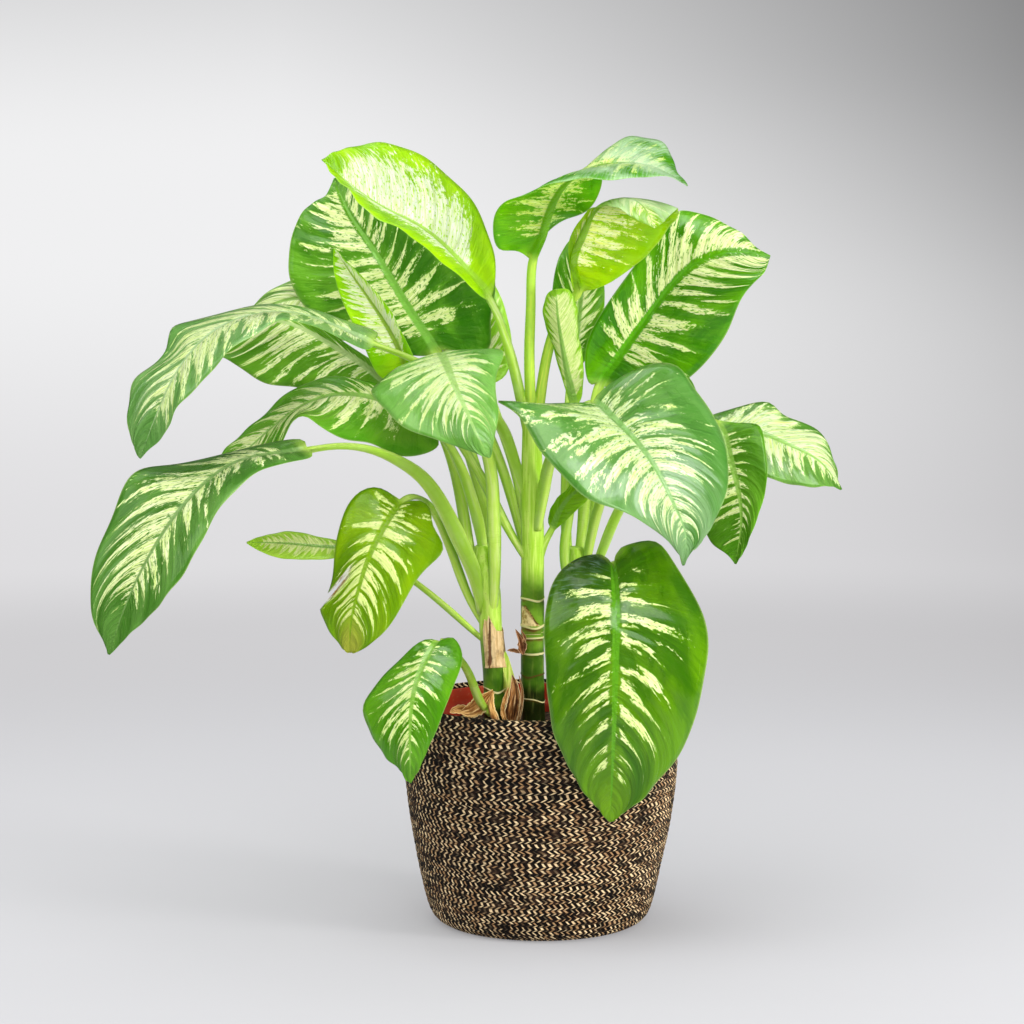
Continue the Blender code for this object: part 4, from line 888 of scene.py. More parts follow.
    cells = f.noise(f.place(), 900.0, 2.0, 0.5)
    relief = cells * 0.2 + veinlets * 1.3
    quilt = stripe * (blade * f.step(share, 1.0, 0.6))
    relief = quilt * 1.5 + relief
    shine = clouds * 0.16 + (look["rough"] - 0.08)
    skin = f.surface(Base_Color=colour, Roughness=shine, Specular_IOR_Level=0.4,
                     Specular_Tint=srgb(228, 255, 150), Coat_Weight=look["coat"],
                     Coat_Roughness=0.12, Normal=f.bump(relief, 0.6, 0.0009))
    lit_through = f.add("BsdfTranslucent", f.blend(0.5, colour, tone["glow"]))
    f.show(f.add("MixShader", look["through"], skin, lit_through))
    return f.material


print("numbers and colours that a leaf can have of its own:", len(LEAF_USUAL))

# %% How each leaf differs
# Besides each leaf's own colour, these tones make up for light: the greyer, paler greens of leaves 02, 07,
# 13 and 15 are painted sheen, and the brighter greens and creams of shaded leaves such as 03, 08, 09 and
# 10 are painted light.
LEAF_LOOKS = {
    "leaf_01": dict(dark=(58, 112, 28), mid=(100, 152, 64), reach=0.34, vary=0.5, lean=-0.06, tip=0.78,
        foot=0.04, rib=(122, 162, 88), fall=0.14, band=0.62, tear=0.36, flecks=1.0,
        cream=(250, 252, 206)),
    "leaf_02": dict(dark=(82, 138, 56), mid=(128, 172, 98), reach=0.5, vary=0.56, lean=0.15, tip=0.82,
        foot=0.04, cream=(232, 240, 196), rib=(166, 198, 138), coat=0.7, band=0.5, tear=0.3, flecks=0.9),
    "leaf_03": dict(dark=(76, 138, 26), mid=(124, 182, 44), reach=0.12, vary=0.62, lean=0.22, foot=0.1,
        tip=0.98, fall=-0.2, rib=(190, 214, 140), cream=(255, 255, 212), tear=0.26),
    "leaf_04": dict(dark=(76, 148, 22), mid=(122, 180, 44), reach=0.34, vary=0.46, lean=0.02,
        foot=0.12, fall=0.0, cream=(255, 255, 204), tear=0.28),
    "leaf_05": dict(dark=(34, 108, 2), mid=(110, 176, 36), reach=0.3, vary=0.46, lean=0.1, tip=0.98,
        foot=0.08, fall=-0.05, inner=3.6, rib=(142, 204, 80), flecks=0.9, tear=0.28,
        cream=(255, 255, 200)),
    "leaf_06": dict(dark=(128, 192, 0), mid=(186, 234, 0), reach=0.62, vary=0.3, lean=-0.16, tip=0.84,
        foot=0.16, fall=0.06, cap=0.74, cream=(255, 255, 246), pale=(232, 246, 170),
        rib=(170, 218, 60), glow=(200, 240, 80), through=0.36, band=0.2, tear=0.34, flecks=0.9),
    "leaf_07": dict(dark=(92, 154, 50), mid=(134, 188, 92), reach=0.44, vary=0.62, lean=-0.08,
        tip=0.76, foot=-0.04, fall=0.34, rib=(166, 208, 110), cream=(222, 238, 186), tear=0.34,
        coat=0.6, band=0.45),
    "leaf_08": dict(dark=(128, 204, 0), mid=(186, 236, 20), reach=0.86, vary=0.56, lean=-0.2, tip=0.97,
        foot=0.2, through=0.34, streak=4.5, band=0.2, tear=0.34, cream=(255, 255, 236),
        pale=(236, 248, 150), rib=(170, 206, 60), flecks=1.0),
    "leaf_09": dict(dark=(70, 156, 0), mid=(134, 204, 4), reach=0.4, vary=0.44, tip=0.84, foot=0.1,
        through=0.42, streak=3.5, pale_under=0.0, cream=(250, 255, 176), pale=(222, 240, 90),
        glow=(180, 236, 10), rib=(104, 172, 0), tear=0.46, flecks=1.0, band=0.5, painted_sheen=0.75, coat=0.6),
    "leaf_10": dict(dark=(138, 194, 0), mid=(184, 222, 0), reach=0.38, vary=0.5, lean=0.0, tip=1.05,
        foot=0.14, fall=0.0, through=0.42, pale_under=0.0, cream=(255, 255, 210), pale=(240, 246, 110),
        rib=(122, 176, 0), tear=0.46, flecks=1.0, band=0.6, glow=(190, 230, 0), painted_sheen=0.65, coat=0.6),
    "leaf_11": dict(dark=(40, 118, 0), mid=(104, 178, 0), reach=0.44, vary=0.56, lean=0.1, tip=1.1,
        foot=0.12, fall=-0.4, rib=(96, 180, 8), inner=4.0, flecks=0.9, tear=0.28,
        cream=(255, 255, 200), coat=0.55),
    "leaf_12": dict(dark=(112, 174, 8), mid=(174, 222, 56), reach=0.84, vary=0.45, lean=-0.15, tip=0.9,
        streak=3.5, through=0.4, band=0.3, cream=(255, 255, 190)),
    "leaf_13": dict(dark=(66, 128, 38), mid=(108, 160, 78), reach=0.4, vary=0.6, lean=-0.1, tip=0.84,
        foot=0.02, fall=0.2, cream=(222, 236, 196), rib=(140, 194, 102), streak=5.0, tear=0.36,
        flecks=0.9, coat=0.9, band=0.45, painted_sheen=0.16),
    "leaf_14": dict(dark=(62, 122, 8), mid=(104, 166, 36), reach=0.1, vary=0.55, lean=-0.06,
        rib=(150, 200, 80), cream=(255, 255, 204)),
    "leaf_15": dict(dark=(70, 126, 30), mid=(116, 166, 72), reach=0.64, vary=0.46, lean=0.22, tip=0.94,
        cream=(224, 238, 196), tear=0.32, coat=0.6, band=0.5),
    "leaf_16": dict(dark=(44, 98, 0), mid=(100, 152, 0), reach=0.06, vary=0.64, streak=7.5, tip=0.86,
        foot=0.08, inner=5.0, rib=(92, 162, 20), tear=0.24, band=0.86, cap=0.64, fall=0.42, lean=-0.05,
        flecks=0.9, deep_shade=0.9, coat=0.6, tip_tone=0.3, tip_tint=(150, 200, 0)),
    "leaf_17": dict(dark=(58, 124, 4), mid=(102, 166, 22), reach=0.18, vary=0.56, lean=-0.1, tip=0.84,
        foot=-0.04, fall=0.34, rib=(130, 184, 62), cap=0.7, coat=0.6, tear=0.38, band=0.56, flecks=0.9),
    "leaf_18": dict(dark=(92, 138, 0), mid=(138, 178, 4), reach=0.28, vary=0.58, tip=0.76, foot=0.02,
        rib=(124, 168, 0), streak=5.0, cream=(238, 242, 160), tip_tone=0.6, tear=0.3, band=0.55,
        torn_at=0.43),
    "leaf_19": dict(dark=(160, 208, 50), mid=(194, 232, 80), reach=0.5, vary=0.5, streak=3.0, band=0.2,
        cream=(252, 255, 180)),
    "leaf_20": dict(dark=(116, 176, 4), mid=(160, 218, 40), reach=-0.6, vary=0.2),
    "leaf_21": dict(dark=(52, 124, 4), mid=(114, 176, 30), reach=0.5, vary=0.4, cream=(255, 255, 204)),
    "leaf_22": dict(dark=(134, 196, 20), mid=(176, 228, 80), reach=0.5, vary=0.5, cream=(255, 255, 210)),
    "leaf_23": dict(dark=(90, 138, 52), mid=(130, 172, 90), reach=0.7, vary=0.4, cream=(252, 255, 208)),
    "leaf_24": dict(dark=(66, 122, 18), mid=(110, 166, 50), reach=0.3, vary=0.4),
}

# %% Leaves
leaves = []
for number, (name, row) in enumerate(LEAVES.items()):
    spacing = row.get("veins", VEIN_SHARE) * run_of(leaf_lines(row)[1])[-1]
    finish = leaf_finish(name + "_skin", number + 1, spacing, **LEAF_LOOKS[name])
    leaf = make_leaf(name, row, finish)
    leaves.append(dress(leaf, "leaf", name))
print("leaves:", len(leaves), "with", sum(triangles(leaf) for leaf in leaves), "triangles")

# %% [markdown]
# ## Basket
# One long flat braid of natural and blackened fibre is wound up from the centre of the floor, and each
# turn is sewn to the last. A bump pattern on a smooth wall would look flat against the light, so
# the braid is modelled: the wall's outline is walked in rows of about 5 mm, each row swells
# like a rope, and its strands lean away from the row's middle, which gives the rows of small arrows
# that the photograph shows.

# %% Outline of the basket's wall and the rows of braid on it
BASKET_SHAPE = [(84.0, 0.0), (93.0, 5.0), (98.0, 13.0), (101.5, 25.0), (105.0, 42.0), (111.0, 72.0),
                (116.0, 102.0), (119.4, 132.0), (120.8, 160.0), (121.0, 191.0)]
BASKET_WALL = 6.0
RIM_BEGINS = 191.8
ROW_DEPTH = 1.0           # how far a row swells out of the groove between two rows
OUTSIDE_ROWS = 37
INSIDE_ROWS = 7           # that are braided below the rim, before the wall goes on plain
INSIDE_ROW = 5.3          # height of one of them in mm
BASE_ROWS = 16
LOWER_ROWS = 21           # in the lower one of the wall's two pieces
WALL_COLUMNS = 960        # points on the way round, four for each strand
BASE_COLUMNS = 240
PLAIN_STEP = 0.2          # how far the weave's count goes on from one plain ring to the next
BELOW_RIM = 188.0         # rows wave up and down only below this height


def wall_outline():
    """Radius and height up the outside, round the rim's half circle and down the inside."""
    shape = np.array([(r, 0.0, z) for r, z in BASKET_SHAPE])
    outside = smooth_curve(shape, 12)[:, ::2] - np.array([ROW_DEPTH, 0.0])
    outside[:, 1] = np.maximum(outside[:, 1], ROW_DEPTH)
    turn = np.linspace(0.0, np.pi, 14)[1:-1]
    core = BASKET_WALL - 2.0 * ROW_DEPTH
    rim_radius = 0.5 * core + 0.6
    rim = np.stack([outside[-1, 0] - rim_radius + rim_radius * np.cos(turn),
                    RIM_BEGINS + (rim_radius + 0.9) * np.sin(turn)], axis=1)
    low_inside = outside[::-1] - np.array([core, 0.0])
    inside = low_inside[low_inside[:, 1] > 7.0] - np.array([0.6, 0.0])
    return np.vstack([outside, rim, inside]), len(outside)


def outline_points(outline, runs):
    """Place and outward arrow on an outline at these lengths along it."""
    run = run_of(outline)
    place, ahead, behind = (
        np.stack([np.interp(runs + off, run, outline[:, k]) for k in range(2)], axis=1)
        for off in (0.0, 1.5, -1.5))
    way = arrow(ahead - behind)
    return place, np.stack([way[:, 1], -way[:, 0]], axis=1)


wall, outside_count = wall_outline()
wall_run = run_of(wall)
outside_run = wall_run[outside_count - 1]
row_heights = 1.0 + np.random.default_rng(5).uniform(-0.09, 0.09, OUTSIDE_ROWS)
row_ends = np.r_[0.0, np.cumsum(row_heights / row_heights.sum() * outside_run)]
row_ends = np.r_[row_ends, row_ends[-1] + INSIDE_ROW * np.arange(1, INSIDE_ROWS + 2)]
print("rows of braid outside:", OUTSIDE_ROWS, "each about", round(outside_run / OUTSIDE_ROWS, 1), "mm")

# %% Braid on any part of an outline
def braid(outline, rows, ends, columns, plain=()):
    """A grid of points: rows of braid between these ends, then plain rings down the outline.

    With v from -1 to 1 across a row, a point stands sqrt(1 - v^2) of the row's depth out of the
    outline, and its angle is 2 pi column / columns less 1.15 |v| of a stitch, so that strands lean
    away from the middle. Every fourth column is a strand's crest and the one halfway is a gap. Soft
    and wave make the wall a little uneven, and each row drifts by about half a stitch.
    """
    share = np.tile([0.0, 0.25, 0.5, 0.75], len(rows))
    number = np.repeat(np.asarray(rows), 4)
    last = number[-1] + 1
    runs = np.r_[ends[number] + share * (ends[number + 1] - ends[number]), ends[last], plain]
    v = np.r_[2.0 * share - 1.0, -1.0, np.full(len(plain), -1.0)]
    count = np.r_[number + share, 1.0 * last, last + PLAIN_STEP * np.arange(1, len(plain) + 1)]
    place, out = outline_points(outline, runs)
    swell = np.sqrt(np.clip(1.0 - v ** 2, 0.0, 1.0))
    column = np.arange(columns)
    stitch = 2.0 * np.pi / (columns / 4)
    turn = 2.0 * np.pi * column / columns
    counted, row = count[:, None], np.floor(count)[:, None]
    drift = 0.5 * np.sin(1.7 * counted) + 0.6 * np.sin(3.0 * turn + 0.9 * counted)
    angle = turn + stitch * (drift - 1.15 * np.abs(v)[:, None])
    strand = 0.5 + 0.5 * np.cos(0.5 * np.pi * column)
    rise = ROW_DEPTH * swell[:, None] * (0.72 + 0.28 * strand)
    soft = 0.8 * np.sin(2.0 * angle + 0.05 * counted) + 0.5 * np.sin(5.0 * angle - 0.21 * counted)
    lean = smooth_step((place[:, 1] - 2.0) / 30.0)[:, None]
    radius = place[:, :1] + out[:, :1] * rise + soft * lean * 0.8
    wave = 0.55 * np.sin(3.0 * angle + 0.7 * row) + 0.35 * np.sin(7.0 * angle + 2.1 * row)
    height = place[:, 1:] + out[:, 1:] * rise + wave * lean * (place[:, 1:] < BELOW_RIM)
    grid = np.stack([radius * np.cos(angle), radius * np.sin(angle), np.maximum(height, 0.0)], axis=-1)
    return grid, count


def make_braid(name, grid, count, material):
    """A ring of braid, closed both ways round, with the map its colours follow and one for baking."""
    rows, columns = grid.shape[:2]
    last = (rows - 1) * columns
    k = np.arange(columns)
    seam = np.stack([last + k, last + (k + 1) % columns, (k + 1) % columns, k], axis=1)
    obj = make_mesh(name, grid, [ring_faces(rows, columns), seam], material)
    i, j = np.meshgrid(np.arange(rows), k, indexing="ij")
    low = count[i]
    high = np.r_[count[1:], count[-1] + PLAIN_STEP][i]
    u = np.stack([j, j + 1, j + 1, j], axis=-1).reshape(-1, 4)
    v = np.stack([low, low, high, high], axis=-1).reshape(-1, 4)
    keep_map(obj, "weave", u / 4.0, v)
    r = np.stack([i, i, i + 1, i + 1], axis=-1).reshape(-1, 4)
    keep_map(obj, "OFBake", 0.002 + 0.996 * u / columns, 0.002 + 0.996 * r / rows)
    return obj

# %% Rope finish
def rope_finish(name):
    """Each strand is a light dash beside a dark one; both have fibres along them.

    In the map u counts strands and v rows, and every half row of a strand has chances of its own.
    """
    f = Finish(name)
    u, v, _ = f.split(f.add("UVMap", uv_map="weave"))
    shift = f.add("TexWhiteNoise", f.point(f.math("FLOOR", v), 4.0, 9.0), noise_dimensions="3D")
    u = shift * 2.0 + u
    pair = u * 0.5 + 0.5
    half = f.math("FLOOR", v * 2.0)
    own = f.add("TexWhiteNoise", f.point(f.math("FLOOR", pair), half, 3.0), noise_dimensions="3D", out=1)
    wide, shade, missing = f.outputs("SeparateColor", own)
    local = f.math("FRACT", pair) - 0.5
    off = abs(local + (shade - 0.5) * 0.24)
    patch = f.noise(f.point(u / 11.0, v / 1.6), 1.0, 3.0, 0.6) - 0.5
    width = patch * 0.24 + (wide * 0.1 + 0.115)
    fibre = f.noise(f.point(u * 4.5, v * 2.5), 1.0, 3.0, 0.65)
    ragged = (fibre - 0.5) * 0.3 + off
    light = 1.0 - f.step(ragged - width, -0.04, 0.05)
    along_it = abs(f.math("FRACT", v * 2.0) - 0.5)
    light = light * f.step(along_it, 0.5, 0.34)
    there = patch * 1.3 + missing
    light = light * (f.step(there, 0.1, 0.3) * 0.9 + 0.1)
    row_place = abs(f.math("FRACT", v) * 2.0 - 1.0)
    # Near-black in the groove between two rows: painted shade.
    groove_shade = f.step(row_place, 0.84, 1.0)
    natural = f.blend(f.step(shade, 0.2, 0.9), srgb(234, 208, 162), srgb(158, 124, 86))
    natural = f.blend(f.step(fibre, 0.32, 0.62), f.blend(0.4, natural, srgb(140, 100, 62)), natural)
    black = f.blend(f.step(wide, 0.5, 1.0), srgb(8, 6, 5), srgb(44, 30, 22))
    black = f.blend(f.step(fibre, 0.56, 0.8) * 0.3, black, srgb(90, 70, 54))
    colour = f.blend(light, black, natural)
    colour = f.blend(groove_shade * 0.45, colour, srgb(10, 7, 6))
    relief = fibre + light * 0.5
    f.surface(Base_Color=colour, Roughness=0.82, Specular_IOR_Level=0.15,
              Normal=f.bump(relief, 0.6, 0.0005))
    return f


rope = rope_finish("braided_rope_finish")
print("rope finish has", len(rope.tree.nodes), "nodes")

# %% Basket in three pieces, parted in a groove
seam_height = np.interp(row_ends[LOWER_ROWS], wall_run, wall[:, 1])
inner_wall = np.arange(len(wall)) > outside_count + 6
inner_seam = np.interp(-seam_height, -wall[inner_wall, 1], wall_run[inner_wall])
plain_steps = PLAIN_STEP * np.arange(1, 6)

lower_grid, lower_count = braid(wall, range(LOWER_ROWS), row_ends, WALL_COLUMNS)
lower_inner, _ = outline_points(wall, np.linspace(inner_seam, wall_run[-1], len(plain_steps)))
lower_grid = np.concatenate([lower_grid, turned_grid(lower_inner, WALL_COLUMNS)])
lower_count = np.r_[lower_count, lower_count[-1] + plain_steps]

rows_to_rim = OUTSIDE_ROWS + INSIDE_ROWS
upper_plain = np.linspace(row_ends[rows_to_rim] + 6.0, inner_seam, 3)
upper = braid(wall, range(LOWER_ROWS, rows_to_rim), row_ends, WALL_COLUMNS, upper_plain)

underside = np.array([(85.0, ROW_DEPTH), (2.6, ROW_DEPTH)])
base_ends = np.linspace(0.0, 82.4, BASE_ROWS + 1)
base_grid, base_count = braid(underside, range(BASE_ROWS), base_ends, BASE_COLUMNS)
floor_rings = turned_grid([(84.0, 4.0), (80.0, 6.4), (60.0, 6.4), (30.0, 6.4), (2.6, 6.4)], BASE_COLUMNS)
base = np.concatenate([base_grid[::-1], floor_rings]), np.r_[base_count[::-1], -plain_steps]

for name, (grid, count) in {"basket_lower": (lower_grid, lower_count), "basket_upper": upper,
                            "basket_base": base}.items():
    piece = dress(make_braid(name, grid, count, rope.material), "braided_rope", "basket")
    print(piece.name, triangles(piece), "triangles")

# %% [markdown]
# ## Nursery pot and soil
# The pot is thin brown-red plastic with a turned rim, of which a little shows behind the canes. It is
# a profile turned round, with the rim's edges rounded. The soil is a heap of crumbs: waves of
# chance heights from coarse to fine, added up on a disc, which is closed by the plug below it.

# %% Nursery pot
POT_PROFILE = [(0.5, 6.8), (60.0, 6.8), (75.6, 6.8), (77.6, 7.6), (78.2, 9.4), (84.6, 56.0),
    (91.0, 104.0), (97.4, 150.0), (100.7, 174.2), (101.8, 176.0), (105.2, 176.2), (106.0, 176.9),
    (106.4, 180.0), (107.0, 190.6), (107.0, 192.0), (106.3, 192.9), (105.3, 192.9), (104.7, 192.0),
    (104.2, 184.0), (103.8, 179.0), (102.6, 177.6), (99.6, 175.4), (99.0, 173.0), (92.8, 127.0),
    (86.4, 80.0), (76.6, 10.2), (75.0, 8.9), (40.0, 8.9), (0.5, 8.9)]
POT_SIDES = 160

plastic = Finish("pot_plastic_finish")
wear = plastic.noise(plastic.place(), 22.0, 4.0, 0.6)
scuffs = plastic.noise(plastic.place(), 260.0, 3.0, 0.55)
clay = plastic.blend(plastic.step(wear, 0.35, 0.65), srgb(146, 34, 12), srgb(166, 48, 18))
dusty = plastic.step(scuffs, 0.54, 0.72) * 0.25
plastic.surface(Base_Color=plastic.blend(dusty, clay, srgb(150, 110, 80)), Specular_IOR_Level=0.3,
                Roughness=scuffs * 0.3 + 0.32, Normal=plastic.bump(scuffs, 0.3, 0.0004))
nursery_pot = make_mesh("nursery_pot_turned", turned_grid(POT_PROFILE, POT_SIDES),
                        tube_faces(len(POT_PROFILE), POT_SIDES), plastic.material)
dress(nursery_pot, "pot_plastic", "nursery_pot")
print("pot:", triangles(nursery_pot), "triangles")

# %% Soil
SOIL_TOP = 169.0
SOIL_SIDES = 260
SOIL_PLUG = [(98.3, 160.0), (90.0, 110.0), (76.3, 12.0), (40.0, 9.3), (0.6, 9.3)]
CRUMBS = ((22.0, 2.4), (7.0, 2.2), (3.2, 1.9), (1.7, 1.0))   # size and height of each wave in mm
LATTICE = 96


def crumbs(x, y, cell, seed):
    """Chance heights on a square lattice, joined smoothly: the four nearest ones are weighed."""
    rng = np.random.default_rng(seed)
    lattice = rng.uniform(-0.5, 0.5, (LATTICE, LATTICE))
    gx, gy = x / cell + LATTICE // 2, y / cell + LATTICE // 2
    ix, iy = np.floor(gx).astype(int), np.floor(gy).astype(int)
    fx, fy = smooth_step(gx - ix), smooth_step(gy - iy)
    left, right = (lambda j, i=i: lattice[i % LATTICE, j % LATTICE] for i in (ix, ix + 1))
    low, high = (left(j) * (1.0 - fx) + right(j) * fx for j in (iy, iy + 1))
    return low * (1.0 - fy) + high * fy


heap = [(r, SOIL_TOP + 3.4 * np.exp(-(r / 50.0) ** 2) - 0.6) for r in np.linspace(0.6, 98.4, 84)]
soil_top = turned_grid(heap, SOIL_SIDES)
for cell, tall in CRUMBS:
    soil_top[..., 2] += tall * crumbs(soil_top[..., 0], soil_top[..., 1], cell, int(cell * 10))
soil_grid = np.concatenate([soil_top, turned_grid(SOIL_PLUG, SOIL_SIDES)])
soil_faces = [faces[:, ::-1] for faces in tube_faces(len(soil_grid), SOIL_SIDES)]

earth = Finish("soil_finish")
lumps = earth.noise(earth.place(), 190.0, 4.0, 0.65)
threads = earth.noise(earth.place(), 620.0, 2.0, 0.5)
brown = earth.blend(earth.step(lumps, 0.36, 0.68), srgb(38, 27, 20), srgb(84, 62, 44))
brown = earth.blend(earth.step(threads, 0.62, 0.72), brown, srgb(128, 100, 72))
earth.surface(Base_Color=brown, Roughness=0.93, Specular_IOR_Level=0.2,
              Normal=earth.bump(lumps, 0.7, 0.0015))
soil_piece = make_mesh("soil_heap", soil_grid, soil_faces, earth.material)
dress(soil_piece, "soil", "soil")
print("soil:", triangles(soil_piece), "triangles")

# %% [markdown]
# ## Canes
# A cane is the stem below and, above the last leaf scar, a false stem of rolled leaf sheaths. Every
# fallen leaf left a pale line round it. A cane is a circle carried up its centre line; at each
# scar the circle swells to a thin ridge, which dips where the sheath was open. The finish
# darkens in steps from the fresh yellow-green above to the old green lower down, and at the foot, by
# the rims of the pot and basket, to a near-black green that is painted shade.

# %% Cane table
# For each cane, from the foot up: points on its centre line, each with the radius there, and its
# scars, each with its height, how far its line dips, the direction of the dip in degrees and how wide
# its ridge is. Tones are the heights where one green turns into the next, the first of them the top of
# the painted shade at the foot; cork is the foot and the top of a patch of tan skin, and the old scar
# has a brown line.
CANES = {
    "left": dict(
        line=[(-40, -5, 126, 9.8), (-40, -5, 176, 9.8), (-40, -5, 202, 10), (-41, -4, 227, 10.2),
              (-43, -2, 250, 9.6), (-44, 0, 271, 9.6), (-46, 0, 292, 10.6), (-49, 2, 313, 9.8),
              (-50, 4, 328, 8)],
        scars=[(206.0, 4.5, 285.0, 1.0)],
        tones=(192.0, 226.0, 250.0)),
    "centre": dict(
        line=[(-6, 4, 124, 10.2), (-6, 4, 176, 10.2), (-7, 4, 217, 10.3), (-7, 4, 260, 10.2),
              (-7, 4, 283, 10.2), (-7, 3, 303, 10), (-7, 2, 336, 9.8), (-8, 1, 371, 9.8),
              (-8, 0, 410, 8.6), (-9, -1, 441, 7), (-10, -2, 460, 6)],
        scars=[(195.0, 3.5, 330.0, 0.7), (217.0, 2.5, 250.0, 0.8), (236.0, 0.6, 270.0, 1.1),
               (250.0, 0.4, 230.0, 1.0), (260.0, 2.2, 280.0, 1.5), (284.0, 2.4, 300.0, 1.1)],
        tones=(207.0, 238.0, 303.0), cork=(261.0, 278.0), old_scar=217.0),
    "right": dict(
        line=[(36, 22, 116, 10), (36, 22, 169, 10), (35, 21, 218, 10.2), (34, 20, 263, 10),
              (33, 20, 290, 10.4), (32, 19, 312, 9.6), (31, 19, 325, 7.5)],
        scars=[(198.0, 1.5, 270.0, 1.0), (222.0, 1.0, 250.0, 1.0), (248.0, 1.5, 290.0, 1.0),
               (272.0, 1.0, 270.0, 1.0)],
        tones=(200.0, 230.0, 286.0)),
}
CANE_SIDES = 72
CANE_STEP = 1.25          # mm between circles
BESIDE_SCAR = 4.6         # within this distance a scar colours the skin
FAR_OFF = 99.0

# %% Cane surface
def make_cane(key, row, material):
    """Circles of radius r(z) carried up the centre line; a scar adds 0.6 exp(-(d / 0.8)^2) to r.

    d is the height above the scar's line in units of the ridge's width, and the line dips by
    dip * exp(-(turn from the dip / 42)^2).
    """
    table = np.asarray(row["line"], float)
    line = smooth_curve(table[:, :3])
    top = line[-1, 2]
    z = np.arange(table[0, 2], top, CANE_STEP)
    radius = np.interp(z, table[:, 2], table[:, 3])
    cap = np.linspace(0.0, 1.0, 9)[1:]
    z = np.r_[z, top + 0.45 * radius[-1] * np.sin(0.5 * np.pi * cap)]
    round_top = np.clip(1.0 - 0.7 * np.sin(0.5 * np.pi * cap) ** 2, 0.0, 1.0)
    radius = np.r_[radius, radius[-1] * np.sqrt(round_top)]
    centre = np.stack([np.interp(z, line[:, 2], line[:, k]) for k in range(2)], axis=1)
    angle = np.linspace(0.0, 2.0 * np.pi, CANE_SIDES, endpoint=False)
    near = np.full((len(z), CANE_SIDES), FAR_OFF)
    for scar, dip, towards, wide in row["scars"]:
        turn = (np.degrees(angle) - towards + 180.0) % 360.0 - 180.0
        height = z[:, None] - (scar - dip * np.exp(-(turn / 42.0) ** 2) + 0.35 * dip)[None, :]
        near = np.where(np.abs(height) < np.abs(near) * wide, height / wide, near)
    ridge = 0.6 * np.exp(-(near / 0.8) ** 2) - 0.25 * np.exp(-((near + 1.8) / 1.0) ** 2)
    fresh = smooth_step((z - row["scars"][-1][0] - 12.0) / 40.0)[:, None]
    seams = 0.3 * np.abs(np.sin(1.5 * angle + 0.8)) ** 0.5
    rolled = 0.35 * np.sin(3.0 * angle + 0.02 * z[:, None]) + seams
    r = radius[:, None] + ridge + fresh * rolled + 0.12 * np.sin(4.0 * angle + 0.05 * z[:, None])
    grid = np.stack([centre[:, :1] + r * np.cos(angle), centre[:, 1:] + r * np.sin(angle),
                     z[:, None] + 0.0 * r], axis=-1)
    cane = make_mesh("cane_" + key + "_ringed", grid, tube_faces(len(grid), CANE_SIDES), material)
    beside = (np.abs(near) < BESIDE_SCAR).astype(float)
    place = np.stack([near, beside, np.degrees(angle) + 0.0 * r], axis=-1)
    keep_points(cane, "cane_place", place)
    return dress(cane, "cane", "cane_" + key)

